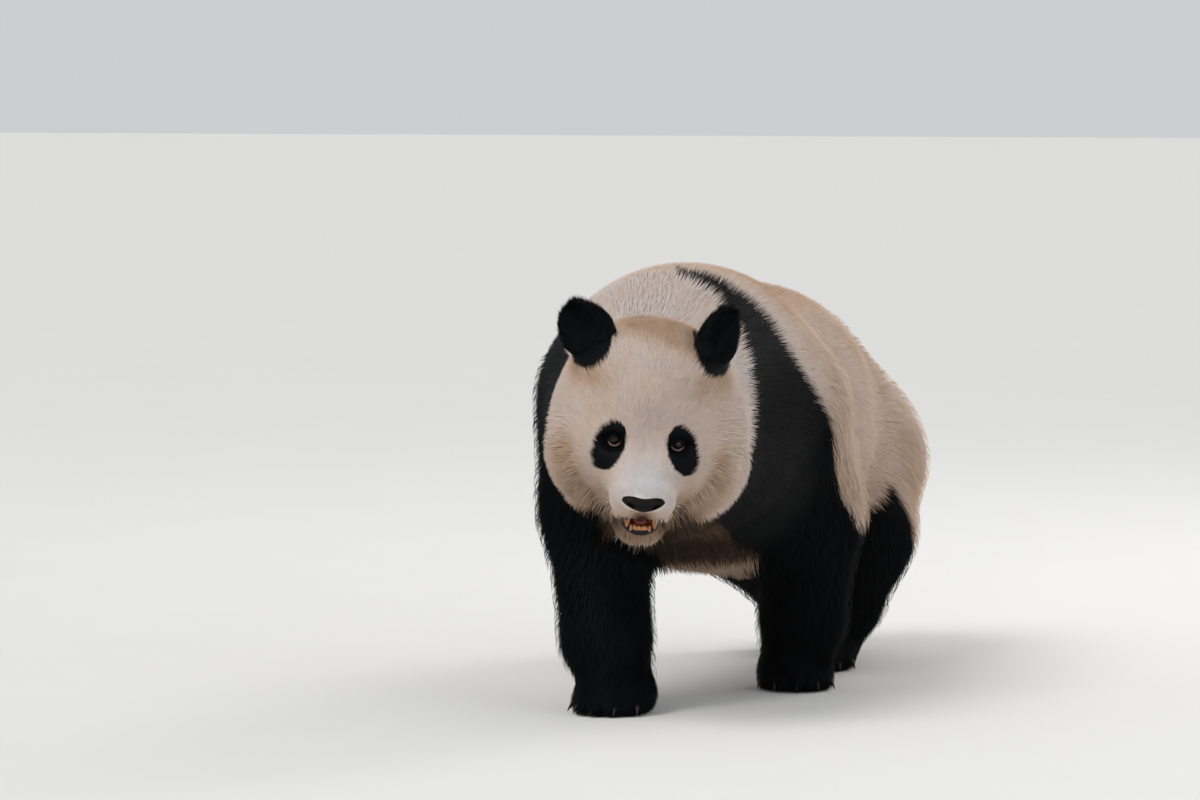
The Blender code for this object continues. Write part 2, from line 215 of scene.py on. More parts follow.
def headShape(q):  # skull, cheeks, muzzle and chin joined, then the eye sockets and the open mouth cut in
    s = mirrored(q)
    d = ellipsoid(q, *headForm["skull"])
    d = smoothMin(d, ellipsoid(s, *headForm["cheek"]), fillets["cheek"])
    d = smoothMin(d, roundedBox(q, *headForm["muzzle"]), fillets["muzzle"])
    d = smoothMin(d, ellipsoid(q, *headForm["chin"]), fillets["chin"])
    d = smoothMax(d, -ellipsoid(s, *headForm["socket"]), fillets["socket"])
    return smoothMax(d, -np.maximum(mouthShape(q), headForm["mouthFloor"] - q[:, 2]), fillets["mouth"])


def earPoint(name, offset):  # an offset in the ear's own turned frame, in the head's frame
    return vec(*earForm[name]["centre"]) + turned(earForm[name]["turn"]) @ vec(*offset)


def inEar(q, name):  # places in the ear's own turned frame
    return (q - vec(*earForm[name]["centre"])) @ turned(earForm[name]["turn"])


def earShape(q, name):  # a flat ellipsoid, hollowed in front by another
    turn = earForm[name]["turn"]
    flap = ellipsoid(q, earForm[name]["centre"], earForm["half"], turn)
    hollow = ellipsoid(q, earPoint(name, earForm["hollow"]), earForm["hollowHalf"], turn)
    return smoothMax(flap, -hollow, fillets["hollow"])


def toes(name):  # centre and outward direction of each toe, on an arc in the paw's turned frame
    size, (outX, outY) = pawForm[name.split("_")[0]], pawForm["toeOut"]
    places = []
    for k in range(pawForm["toeCount"]):
        angle = math.radians((2 * k / (pawForm["toeCount"] - 1) - 1) * size["toeArc"])
        way = Vector((math.sin(angle), -math.cos(angle), 0))
        centre = (way.x * size["half"][0] * outX, way.y * size["half"][1] * outY, pawForm["toeHeight"])
        places.append((Vector(centre), way))
    return places


def pawShape(p, name):  # a low ellipsoid with toes round its front, joined to a short bar from the leg
    leg = legForm[name]
    local = (p - vec(*leg["paw"])) @ turned((0, 0, leg["toeTurn"]))
    half = pawForm[name.split("_")[0]]["half"]
    d = ellipsoid(local, (0, 0, half[2] * 0.62), half)
    for centre, _ in toes(name):
        d = smoothMin(d, ellipsoid(local, centre, pawForm["toeHalf"]), fillets["toe"])
    ankle = (leg["paw"][0], leg["paw"][1], pawForm["ankleHeight"])
    bar = limb(p, [leg["joints"][-1], ankle], [leg["radii"][-1], pawForm["ankleRadius"]])
    return smoothMin(d, bar, fillets["ankle"])


headTurn = np.array(Euler([math.radians(a) for a in headPose["turn"]]).to_matrix())
headMatrix = Matrix.Translation(headPose["place"]) @ Matrix(headTurn).to_4x4()


def toHead(p):  # places of the working frame in the head's
    return (p - vec(*headPose["place"])) @ headTurn.astype(np.float32)


def fromHead(q):  # and back
    return q @ headTurn.T + np.array(headPose["place"])


# The working frame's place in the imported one, from where the left eye is in both
eyeLow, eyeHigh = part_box("eye_left")
shift = np.array((eyeLow + eyeHigh) / 2 - headMatrix @ Vector(eyeForm["place"]))


def bodyParts(p):  # distance to each part of the body, out to the tips of the coat
    q = toHead(p)
    parts = {"trunk": trunkShape(p), "neck": limb(p, **neckForm)}
    for name, leg in legForm.items():
        parts[name] = limb(p, leg["joints"], leg["radii"], fillets["joint"])
        parts["paw_" + name] = pawShape(p, name)
    parts["head"] = headShape(q)
    for name in earNames:
        parts[name] = earShape(q, name)
    parts["tail"] = limb(p, **tailForm)
    return parts, q


def joined(parts):  # the parts' smooth union, in their own order
    d = parts["trunk"]
    for name in list(parts)[1:]:
        kind = "leg" if name in legForm else name.split("_")[0]
        d = smoothMin(d, parts[name], fillets[kind])
    return d


def shares(parts):  # how much each part owns a place: exp(-distance / blend), adding up to 1
    stack = np.stack(list(parts.values()))
    power = np.exp(-(stack - stack.min(axis=0)) / coatDepth["skinBlend"])
    power /= power.sum(axis=0)
    return dict(zip(parts, power))


def headDepth(q):  # shallow on the muzzle, lids and lips, deeper outward to the cheeks and crown
    far = length(q - vec(0, -0.10, -0.07))
    depth = coatDepth["muzzle"] + (coatDepth["cheek"] - coatDepth["muzzle"]) * softStep(0.05, 0.20, far)
    depth = depth * (1 - 0.65 * bell(length(fromEye(q, -0.012)) / 0.024))
    return depth * (1 - 0.6 * bell(mouthShape(q) / 0.012))


def depthOf(parts, q):  # each part's own depth, mixed by the parts' shares
    share = shares(parts)
    depth = share["trunk"] * coatDepth["trunk"] + share["neck"] * coatDepth["neck"]
    depth = depth + share["tail"] * coatDepth["tail"] + share["head"] * headDepth(q)
    for name in legForm:
        depth = depth + share[name] * coatDepth["leg"] + share["paw_" + name] * coatDepth["paw"]
    return depth + (share["ear_left"] + share["ear_right"]) * coatDepth["ear"]


def skinShape(p):  # the body drawn in by the coat's depth, flat under the soles
    parts, q = bodyParts(p)
    return smoothMax(joined(parts) + depthOf(parts, q), coatDepth["sole"] - p[:, 2], fillets["sole"])


def wobble(p, scale, seed):  # slow uneven wave of the place, from -1 to 1: a sum of five sines
    rng = np.random.default_rng(seed)
    total = np.zeros(len(p), np.float32)
    for _ in range(5):
        way = rng.normal(size=3)
        way *= scale * rng.uniform(0.6, 1.5) / np.linalg.norm(way)
        total += np.sin(p @ way.astype(np.float32) + np.float32(rng.uniform(0, 6.28)))
    return total / 3.2


marking = {
    "patchCentre": (0.061, -0.010), "patchHalf": (0.042, 0.0258), "patchTilt": 14.0, "patchSlope": 25.5,
    "earHalf": (0.038, 0.058), "faceSlope": 18.5, "spine": -0.035,
    "forelegTop": 0.30, "thighTop": 0.350,
}
bandForm = {  # edges of the shoulder band, with their shifts on the right side, high up and low down
    "front": -0.318, "frontLean": 0.186, "frontFrom": 0.447, "frontHigh": 0.155, "frontLow": 0.16,
    "rear": -0.123, "rearLean": 1.07, "rearFrom": 0.63, "rearHigh": 0.105, "rearLow": 0.07,
    "spineBow": 0.012, "pastSpine": 0.085, "ragged": 0.006,
}
warmAndShadeSpots = [  # gain, centre and half sizes on the head, the same on both sides; some are painted shade
    (-0.34, (0, -0.085, -0.030), (0.050, 0.065, 0.055)),  # bridge and muzzle
    (-0.06, (0, 0.060, 0.110), (0.060, 0.060, 0.060)),  # forehead
    (0.22, (0.070, 0.000, -0.090), (0.032, 0.05, 0.036)),  # cheeks
    (0.78, (0, -0.112, -0.085), (0.024, 0.022, 0.013)),  # upper lip: brown-grey, partly painted shade under the nose
    (0.34, (0.046, -0.050, -0.118), (0.016, 0.05, 0.024)),  # sides of the chin: brown-grey hair, partly painted shade beside the mouth
    (0.16, (0, -0.075, -0.140), (0.045, 0.05, 0.026)),  # chin: painted shade under the jaw
    (0.36, (0.124, 0.095, 0.082), (0.024, 0.05, 0.022)),  # outside the ears
    (0.24, (0.085, 0.050, 0.085), (0.032, 0.04, 0.020)),  # before the ears
]


def levelOn(q, slope):  # height over a plane through the eyes that is tilted by slope
    angle = math.radians(slope)
    return q[..., 2] * math.cos(angle) + q[..., 1] * math.sin(angle)


def faceLevel(q):  # height on the face as it is seen from in front
    return levelOn(q, marking["faceSlope"])


def eyePatch(q):  # tilted ellipse on the face, its upper end inward, 1 inside
    tilt = math.radians(marking["patchTilt"])
    (x0, b0), (halfU, halfV) = marking["patchCentre"], marking["patchHalf"]
    x = np.abs(q[:, 0]) - x0
    b = levelOn(q, marking["patchSlope"]) - b0
    u = (b * math.cos(tilt) - x * math.sin(tilt)) / halfU
    v = (x * math.cos(tilt) + b * math.sin(tilt)) / halfV
    edge = np.sqrt(u * u + v * v) + 0.04 * wobble(q, 260, 3)
    return softStep(1.07, 0.95, edge) * softStep(0.09, 0.07, q[:, 1])


def shoulderBand(p):
    # Between two edges that lean with height, further back on the hidden right side; 1 inside.
    # Below the chest it is the foreleg's.
    x, y, z = p.T
    right = softStep(-0.015, -0.09, x)
    high = softStep(0.53, 0.70, z)
    front = np.clip((z - bandForm["frontFrom"]) / 0.31, 0, 1.1) ** 1.6
    front = bandForm["front"] + bandForm["frontLean"] * front
    front = front + right * (bandForm["frontHigh"] * high - bandForm["frontLow"] * (1 - high))
    rear = bandForm["rear"] + bandForm["rearLean"] * np.clip(bandForm["rearFrom"] - z, 0, 0.37) ** 1.32
    rear = rear + bandForm["spineBow"] * bell((x - marking["spine"]) / 0.07)
    rear = rear + bandForm["pastSpine"] * softStep(-0.040, -0.095, x)
    rear = rear + right * (bandForm["rearHigh"] * high - bandForm["rearLow"] * softStep(0.50, 0.30, z))
    noise = bandForm["ragged"] * wobble(p, 60, 5)
    inside = softStep(-0.006, 0.006, y - front + noise) * softStep(0.006, -0.006, y - rear + noise)
    return inside * softStep(0.095, 0.120, np.abs(x - marking["spine"]) + 0.5 * np.clip(z - 0.36, 0, 1))


def earFoot(q, name, gap):  # oval about the ear as it is seen from the front of the face, 1 inside
    centre, (halfX, halfZ) = np.array(earForm[name]["centre"]), marking["earHalf"]
    away = np.hypot((q[:, 0] - centre[0]) / halfX, (faceLevel(q) - faceLevel(centre)) / halfZ)
    inside = softStep(1.05, 0.95, away + 0.05 * wobble(q, 200, 7))
    return inside * softStep(0.035, 0.05, q[:, 1]) * softStep(0.040, 0.028, gap)


def mouthCorner(q):  # the dark lips' spread beyond the corners of the mouth, partly painted shade in the corners, 1 inside
    near = softStep(0.0125, 0.0075, mouthShape(q)) * softStep(0.016, 0.023, np.abs(q[:, 0]))
    return near * softStep(-0.087, -0.094, q[:, 2]) * softStep(-0.025, -0.050, q[:, 1])


def blackness(p, q, parts):  # the strongest of the marks: eyes, mouth, band, ears and legs
    black = np.maximum(np.maximum(eyePatch(q), mouthCorner(q)), shoulderBand(p))
    for name in earNames:
        black = np.maximum(black, earFoot(q, name, parts[name]))
        flap = softStep(0.006, -0.002, parts[name] - parts["head"]) * softStep(0.030, 0.020, parts[name])
        black = np.maximum(black, flap)
    ragged = 0.010 * wobble(p, 70, 9)
    for name, leg in legForm.items():
        near = softStep(0.030, 0.016, np.minimum(parts[name], parts["paw_" + name]) + 0.5 * ragged)
        level = marking["forelegTop"]
        if name.startswith("hind"):  # rises up the front of the thigh, then goes under the rump's hair
            back = p[:, 1] - (leg["joints"][1][1] - 0.61)
            level = marking["thighTop"] - 0.76 * np.clip(0.585 - back, 0, 0.2)
            level = level - 0.13 * softStep(0.575, 0.615, back)
        black = np.maximum(black, near * softStep(level + 0.010, level - 0.010, p[:, 2] + ragged))
    return black


def warmthAndShade(p, q, share):  # 0 cool white, 0.3 cream, 0.6 tan, 1 dark brown; the darkening on the chest, chin, upper lip and body is partly painted shade
    s = mirrored(q)
    level = faceLevel(q) + 0.004 * wobble(q, 60, 19)
    head = 0.34 + sum(gain * blob(s, centre, half) for gain, centre, half in warmAndShadeSpots)
    head = head + 0.30 * blob(q, (0.002, -0.062, -0.004), (0.0035, 0.02, 0.010))  # groove of the bridge: a faint line of painted shade
    ring = np.hypot(s[:, 0], level + 0.02)
    head = head + 0.34 * bell((ring - 0.130) / 0.021) * softStep(0.02, -0.03, level)
    edge = 0.160 - 0.30 * q[:, 0]
    crown = softStep(edge - 0.014, edge + 0.014, level) * softStep(0.115, 0.075, s[:, 0])
    crown = crown * softStep(0.30, 0.20, q[:, 1])
    head = head + 0.34 * crown
    y, z = p[:, 1], p[:, 2]
    body = 0.22 + 0.25 * softStep(-0.16, 0.02, y) + 0.20 * crown
    # darker on top of the back behind the band, partly tan and partly painted shade against the light from
    # above; a little darker low on the body, painted shade
    body = body + 0.16 * softStep(0.64, 0.73, z) * softStep(-0.14, 0.0, y) + 0.06 * softStep(0.42, 0.32, z)
    # chest between the forelegs: brown-stained fur darkened to near black by painted shade, less dark at the
    # very bottom
    chest = softStep(0.425, 0.365, z) * softStep(0.34, 0.16, y)
    chest = chest * softStep(0.150, 0.110, np.abs(p[:, 0] + 0.03))
    body = np.maximum(body, 1.1 * chest * (1 - 0.55 * softStep(0.265, 0.230, z)))
    body = body + 0.05 * wobble(p, 9, 11) + 0.05 * wobble(p, 40, 13)
    onHead = np.clip(share["head"] + share["ear_left"] + share["ear_right"], 0, 1)
    return np.clip(onHead * head + (1 - onHead) * body + 0.03 * wobble(p, 150, 17), 0, 1)


def addMesh(name, points, faces, attributes=None, normals=None, uv=None, smooth=True):
    # Points are in the working frame, and faces are rows of three or four point numbers
    mesh = bpy.data.meshes.new(name)
    mesh.vertices.add(len(points))
    mesh.vertices.foreach_set("co", np.ascontiguousarray(points + shift, np.float32).ravel())
    mesh.loops.add(faces.size)
    mesh.loops.foreach_set("vertex_index", faces.astype(np.int32).ravel())
    mesh.polygons.add(len(faces))
    mesh.polygons.foreach_set("loop_start", np.arange(0, faces.size, faces.shape[1], dtype=np.int32))
    mesh.update(calc_edges=True)
    mesh.polygons.foreach_set("use_smooth", np.full(len(faces), smooth))
    for key, values in (attributes or {}).items():
        layer = mesh.attributes.new(key, "FLOAT", "POINT")
        layer.data.foreach_set("value", np.ascontiguousarray(values, np.float32))
    if normals is not None:
        layer = mesh.attributes.new("custom_normal", "FLOAT_VECTOR", "POINT")
        layer.data.foreach_set("vector", np.ascontiguousarray(normals, np.float32).ravel())
    if uv is not None:
        layer = mesh.uv_layers.new(name="OFBake")
        layer.uv.foreach_set("vector", np.ascontiguousarray(uv[faces.ravel()], np.float32).ravel())
    mesh.update()
    obj = bpy.data.objects.new(name, mesh)
    bpy.context.scene.collection.objects.link(obj)
    return obj


def finishPiece(obj, material, slotName, *nodes):  # nodes are the solids that the piece stands for
    obj.data.materials.append(material)
    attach(obj, "root")
    if nodes:
        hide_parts(*nodes)


def gridFaces(rows, columns):  # quads of a grid whose rows are closed rings
    i, j = np.meshgrid(np.arange(rows - 1), np.arange(columns), indexing="ij")
    i, j = i.ravel(), j.ravel()
    k = (j + 1) % columns
    return np.column_stack([i * columns + j, i * columns + k, (i + 1) * columns + k, (i + 1) * columns + j])


def closedRings(rings, start, end):  # rings of points joined by triangles and closed by a point at each end
    rows, columns = rings.shape[:2]
    quads = gridFaces(rows, columns)
    count, last = rows * columns, (rows - 1) * columns
    j = np.arange(columns)
    k = (j + 1) % columns
    caps = [np.column_stack([np.full(columns, count), k, j])]
    caps.append(np.column_stack([np.full(columns, count + 1), last + j, last + k]))
    faces = np.vstack([quads[:, [0, 1, 2]], quads[:, [0, 2, 3]], *caps])
    return np.vstack([rings.reshape(-1, 3), start, end]), faces


def tubeShape(path, radii, sides=10, flat=1.0):
    # Rings of a round or flattened section carried along a path, closed at its two ends
    path, radii = np.asarray(path, float), np.asarray(radii, float)
    way = unit(np.gradient(path, axis=0))
    across = unit(np.cross(way, np.array([0.0, 0.03, 1.0])))
    up = np.cross(across, way)
    turn = np.linspace(0, 2 * np.pi, sides, endpoint=False)
    ring = np.cos(turn)[None, :, None] * across[:, None] + np.sin(turn)[None, :, None] * up[:, None] * flat
    return closedRings(path[:, None] + ring * radii[:, None, None], path[0], path[-1])


def gathered(shapes):  # several meshes as one, with one number per vertex telling which it came from
    points, faces, which, base = [], [], [], 0
    for k, (found, rows) in enumerate(shapes):
        points.append(found)
        faces.append(rows + base)
        which.append(np.full(len(found), k))
        base += len(found)
    return np.vstack(points), np.vstack(faces), np.concatenate(which)


def gridIndex(counts):  # every place of a grid, as whole numbers
    return np.stack(np.meshgrid(*[np.arange(n) for n in counts], indexing="ij"), -1).reshape(-1, 3)


def surfaceOf(values):  # quads where a grid of distances passes through zero
    grid = openvdb.FloatGrid(background=1.0)
    grid.copyFromArray(np.ascontiguousarray(values, np.float32))
    points, quads = grid.convertToQuads(0.0)
    return points, quads.astype(np.int64)


def shapeMesh(shape, low, high, step):  # closed surface of a small form, in the head's frame
    counts = np.ceil((np.array(high) - low) / step).astype(int) + 1
    places = (np.array(low) + gridIndex(counts) * step).astype(np.float32)
    points, quads = surfaceOf(shape(places).reshape(counts))
    return fromHead(np.array(low) + points * step), quads


class Value:
    # one output socket of a material, so that a formula on it is written as Python
    def __init__(self, look, socket):
        self.look, self.socket = look, socket

    def __add__(self, other):
        return self.look.maths("ADD", self, other)

    def __radd__(self, other):
        return self.look.maths("ADD", other, self)

    def __sub__(self, other):
        return self.look.maths("SUBTRACT", self, other)

    def __rsub__(self, other):
        return self.look.maths("SUBTRACT", other, self)

    def __mul__(self, other):
        return self.look.maths("MULTIPLY", self, other)


class Look:
    # a material under construction
    def __init__(self, name, **constants):
        self.material = bpy.data.materials.new(name)
        self.material.use_nodes = True
        self.tree = self.material.node_tree
        self.shader = self.tree.nodes["Principled BSDF"]
        self.use(**constants)

    def node(self, kind, settings, inputs, out=0):
        made = self.tree.nodes.new(kind)
        for key, value in settings.items():
            setattr(made, key, value)
        for key, value in inputs.items():
            self.feed(made.inputs[key], value)
        return Value(self, made.outputs[out])

    def feed(self, socket, value):
        if isinstance(value, Value):
            self.tree.links.new(value.socket, socket)
        else:
            socket.default_value = value

    def maths(self, operation, first, *second):
        inputs = dict(enumerate([first, *second]))
        return self.node("ShaderNodeMath", {"operation": operation}, inputs)

    def attribute(self, name):
        return self.node("ShaderNodeAttribute", {"attribute_name": name}, {}, out=2)

    def place(self):
        return self.node("ShaderNodeTexCoord", {}, {}, out=3)

    def noise(self, scale, detail=2.0, distortion=0.0):
        inputs = {"Vector": self.place(), "Scale": scale, "Detail": detail, "Distortion": distortion}
        return self.node("ShaderNodeTexNoise", {}, inputs)

    def cells(self, scale, feature="F1"):
        inputs = {"Vector": self.place(), "Scale": scale}
        return self.node("ShaderNodeTexVoronoi", {"feature": feature}, inputs)

    def ramp(self, factor, stops):
        made = self.node("ShaderNodeValToRGB", {}, {0: factor})
        elements = made.socket.node.color_ramp.elements
        while len(elements) < len(stops):
            elements.new(1.0)
        for element, (place, colour) in zip(elements, stops):
            element.position = place
            element.color = (*colour, 1)
        return made

    def blend(self, factor, a, b, mode="MIX"):
        settings = {"data_type": "RGBA", "blend_type": mode}
        return self.node("ShaderNodeMix", settings, {0: factor, 6: a, 7: b}, out=2)

    def bump(self, height, strength, distance):
        inputs = {"Strength": strength, "Distance": distance, "Height": height}
        return self.node("ShaderNodeBump", {}, inputs)

    def use(self, **sockets):
        for key, value in sockets.items():
            self.feed(self.shader.inputs[key.replace("_", " ")], value)
        return self.material


coatColour = {
    # the last stop of this ramp, a near-black brown, is painted shade for the chest between the forelegs
    "warmAndShade": [
        (0.0, (0.77, 0.755, 0.765)), (0.22, (0.765, 0.650, 0.590)), (0.38, (0.755, 0.59, 0.49)),
        (0.58, (0.63, 0.44, 0.32)), (0.76, (0.38, 0.25, 0.165)), (1.0, (0.042, 0.025, 0.013)),
    ],
    # the second black, for the tips, is lighter and bluish: partly the tips' own tone, partly painted bluish
    # sheen
    "black": (0.0015, 0.0018, 0.0023, 1), "blackTipAndSheen": (0.0056, 0.0066, 0.0088, 1),
    "rootShade": 0.80, "toneSpread": 0.13, "strandShade": 0.10, "fairGloss": 0.12, "darkGloss": 0.07,
}


def coatColours(look, tone, along):
    # cream to brown by warmth and painted shade, darker at the roots, each tuft a tone of its own; black
    # over it by mask
    warmAndShade = look.attribute("warmAndShade") + (look.noise(14.0) - 0.5) * 0.16 + (tone - 0.5) * 0.10
    fair = look.ramp(warmAndShade, coatColour["warmAndShade"])
    rootShade = coatColour["rootShade"]
    shade = (rootShade + along * (1 - rootShade)) * (1 - tone * coatColour["toneSpread"])
    strands = look.maths("SINE", look.attribute("across") * 9.0 + tone * 20.0)
    shade = shade * (1 - (strands * 0.5 + 0.5) * coatColour["strandShade"])
    grey = look.node("ShaderNodeCombineColor", {}, {0: shade, 1: shade, 2: shade})
    fair = look.blend(1.0, fair, grey, "MULTIPLY")
    # toward the tips the black turns lighter and bluish, partly painted sheen
    dark = look.blend(along * tone, coatColour["black"], coatColour["blackTipAndSheen"])
    return look.blend(look.attribute("black"), fair, dark)


def coatMaterial(name, gloss):
    look = Look(name, Specular_IOR_Level=gloss)
    tone, along = look.attribute("tone"), look.attribute("along")
    roughness = 0.62 + tone * 0.22 - look.attribute("black") * 0.10
    return look.use(Base_Color=coatColours(look, tone, along), Roughness=roughness)


skinLook = {  # colours of lip and flesh, and the widths of lip and bare skin with what the lower lip adds
    "lip": [(0.3, (0.003, 0.0025, 0.003)), (0.8, (0.012, 0.008, 0.0085))],
    "flesh": [(0.30, (0.10, 0.020, 0.010)), (0.70, (0.30, 0.085, 0.030))],
    "lipWidth": (0.0026, 0.0105), "bareWidth": (0.0018, 0.0100),
}


def skinMaterial():
    # the coat's own markings, then wet dark lips and the red of the mouth
    look = Look("pandaSkin", Specular_IOR_Level=0.10, Coat_Roughness=0.10)
    grain = look.noise(420.0, 3.0)
    lip, mouth = look.attribute("lip"), look.attribute("mouth")
    colour = coatColours(look, grain, grain * 0.4 + 0.4)
    colour = look.blend(lip, colour, look.ramp(grain, skinLook["lip"]))
    colour = look.blend(mouth, colour, look.ramp(look.noise(130.0, 3.0), skinLook["flesh"]))
    roughness = 0.85 - lip * 0.50 - mouth * 0.35
    wet = lip * look.noise(260.0, 3.0) * 0.30
    pores = look.bump(look.noise(900.0, 3.0), 0.35, 0.001)
    return look.use(Base_Color=colour, Roughness=roughness, Coat_Weight=wet, Normal=pores)


skinGrid = {"centre": (0.0, -0.045, -0.050), "step": 0.0030, "stretch": 2.6, "reach": 0.08, "block": 6}
gridMiddle = fromHead(np.array([skinGrid["centre"]]))[0]


def warpRadius(r):  # fine near the face and coarser away: s r - (s - 1) k atan(r / k)
    s, k = skinGrid["stretch"], skinGrid["reach"]
    return s * r - (s - 1) * k * np.arctan(r / k)


def warpPoint(u):  # grid place to working frame
    r = np.maximum(length(u), 1e-6)
    return gridMiddle.astype(np.float32) + u * (warpRadius(r) / r)[:, None]


def gridLimits():  # the box of the animal in the grid's own measure
    r = np.linspace(0, 1.5, 4000)
    corners = [np.array(corner) - shift - gridMiddle for corner in cadBox]
    low, high = [np.sign(c) * np.interp(np.abs(c), warpRadius(r), r) for c in corners]
    return low - 0.01, high + 0.01


def makeSkin():
    # Blocks of grid points near the surface are worked out, the rest is only told inside or outside
    step, block = skinGrid["step"], skinGrid["block"]
    low, high = gridLimits()
    blocks = np.ceil((high - low) / step / block).astype(int)
    side = block * step
    index = gridIndex(blocks)
    centres = (low + (index + 0.5) * side).astype(np.float32)
    coarse = skinShape(warpPoint(centres))
    r = length(centres)
    stretch = skinGrid["stretch"] - (skinGrid["stretch"] - 1) / (1 + np.square(r / skinGrid["reach"]))
    active = np.abs(coarse) < 0.87 * side * stretch * 1.3 + 0.004  # half a block's diagonal, and a margin
    values = np.where(coarse < 0, -1.0, 1.0).astype(np.float32).reshape(*blocks, 1, 1, 1)
    values = np.broadcast_to(values, (*blocks, block, block, block)).copy()
    offsets = gridIndex([block] * 3)
    chosen = index[active]
    for start in range(0, len(chosen), 3000):  # in batches, to spare memory
        rows = chosen[start : start + 3000]
        places = low + (rows[:, None] * block + offsets[None]).reshape(-1, 3) * step
        found = skinShape(warpPoint(places.astype(np.float32)))
        values[tuple(rows.T)] = found.reshape(-1, block, block, block)
    points, quads = surfaceOf(values.transpose(0, 3, 1, 4, 2, 5).reshape(blocks * block))
    return warpPoint((low + points * step).astype(np.float32)), quads


def lipReach(q, width, more):  # a width round the mouth, with more below it
    return width + more * softStep(-0.088, -0.101, q[:, 2])


skinPoints, skinQuads = makeSkin()
skinParts, skinHead = bodyParts(skinPoints)
mouthDistance = mouthShape(skinHead)
lipWidth = lipReach(skinHead, *skinLook["lipWidth"])
lipEdge = softStep(1.15, 0.85, np.abs(mouthDistance) / lipWidth) * softStep(-0.005, -0.030, skinHead[:, 1])
inMouth = softStep(0.0030, 0.0010, mouthDistance) * softStep(-0.098, -0.090, skinHead[:, 1])
eyeRim = softStep(0.019, 0.015, length(fromEye(skinHead, -0.004)))
skin = addMesh("skin", skinPoints, skinQuads, {
    "black": np.maximum(blackness(skinPoints, skinHead, skinParts), eyeRim),
    "warmAndShade": warmthAndShade(skinPoints, skinHead, shares(skinParts)),
    "lip": np.clip(lipEdge, 0, 1) * (1 - inMouth), "mouth": inMouth,
})
fleshNodes = [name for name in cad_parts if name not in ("eye_left", "eye_right", "nose", "tongue")]
finishPiece(skin, skinMaterial(), "white_coat", *fleshNodes)
skinNormals = np.empty(len(skinPoints) * 3, np.float32)
skin.data.vertex_normals.foreach_get("vector", skinNormals)
skinNormals = skinNormals.reshape(-1, 3)
print("skin", len(skinPoints), "points", len(skinQuads) * 2, "triangles")

coatSettings = {
    "lengthBase": 0.003, "lengthPerDepth": 3.2, "lengthSpread": (0.72, 1.18), "sway": 0.10,
    "widthBase": 0.0008, "widthPerDepth": 0.075, "widthSpread": (0.8, 1.25), "thick": 0.45,
    "clumpPull": 0.30, "sink": 0.0012, "tipSpread": 0.24, "patch": 0.003, "bend": 0.16, "normalLean": 0.31,
}
coatLie = {  # which way each part's coat is combed
    "trunk": (0, 1.0, -0.40), "neck": (0, 1.0, -0.30), "tail": (0, 0.15, -1.0),
    "leg": (0, 0.22, -1.0), "paw": (0, -1.0, -0.55),
}


def lieOfCoat(p, q, share, normal):
    # Each part combs its own way, and the ways are mixed by the parts' shares and laid on the skin.
    # The head's way is outward from the nose, turned round the eyes and outward on the cheeks.
    turn = headTurn.astype(np.float32)
    out = unit(q - vec(0, -0.115, -0.062)).astype(float)
    out[:, 2] -= 0.55 * softStep(0.02, -0.10, q[:, 2])
    level = faceLevel(q)
    ring = np.column_stack([q[:, 0], np.zeros(len(q)), level])
    cheek = softStep(0.080, 0.115, length(ring)) * softStep(0.08, 0.02, level)
    out = out + unit(ring) * (0.55 * cheek)[:, None]
    away = fromEye(q, -0.010)
    away[:, 0] *= np.sign(q[:, 0])
    out = out + unit(away) * (1.4 * bell(length(away) / 0.020))[:, None]
    lie = (out @ turn.T) * share["head"][:, None]
    for name in earNames:
        foot = earPoint(name, (0, 0, -0.062))
        lie += (unit(q - foot) @ turn.T) * share[name][:, None]
    lie += vec(*coatLie["trunk"]) * share["trunk"][:, None] + vec(*coatLie["neck"]) * share["neck"][:, None]
    lie += vec(*coatLie["tail"]) * share["tail"][:, None]
    for name in legForm:
        lie += vec(*coatLie["leg"]) * share[name][:, None]
        lie += vec(*coatLie["paw"]) * share["paw_" + name][:, None]
    lie += 0.13 * np.column_stack([wobble(p, 45, seed) for seed in (21, 22, 23)])
    lie -= normal * np.einsum("ij,ij->i", lie, normal)[:, None]
    return unit(lie)


def pickRoots(density, count, rng):
    # Even draws along the running total of area times density, then a random place in each face
    corners = skinPoints[skinQuads]
    area = length(np.cross(corners[:, 2] - corners[:, 0], corners[:, 3] - corners[:, 1])) / 2 * density
    total = np.cumsum(area, dtype=np.float64)
    picks = (np.arange(count) + rng.random(count)) / count * total[-1]
    chosen = skinQuads[np.minimum(np.searchsorted(total, picks), len(total) - 1)]
    u, v = rng.random((2, count, 1)).astype(np.float32)
    weights = [(1 - u) * (1 - v), u * (1 - v), u * v, (1 - u) * v]
    sources = (skinPoints, skinNormals)
    point, normal = [sum(w * a[chosen[:, k]] for k, w in enumerate(weights)) for a in sources]
    return point, unit(normal)


def clumpOf(root, lie, size):  # a number for the lock that each tuft belongs to, and the locks' sizes
    uneven = 0.3 * wobble(root, 300, 31)[:, None]
    cells = np.floor((root + 0.35 * size * lie) / size + uneven).astype(np.int64)
    key = (cells * np.array([73856093, 19349663, 83492791])).sum(axis=1)  # three primes keep cells apart
    _, group = np.unique(key, return_inverse=True)
    return group, np.bincount(group)


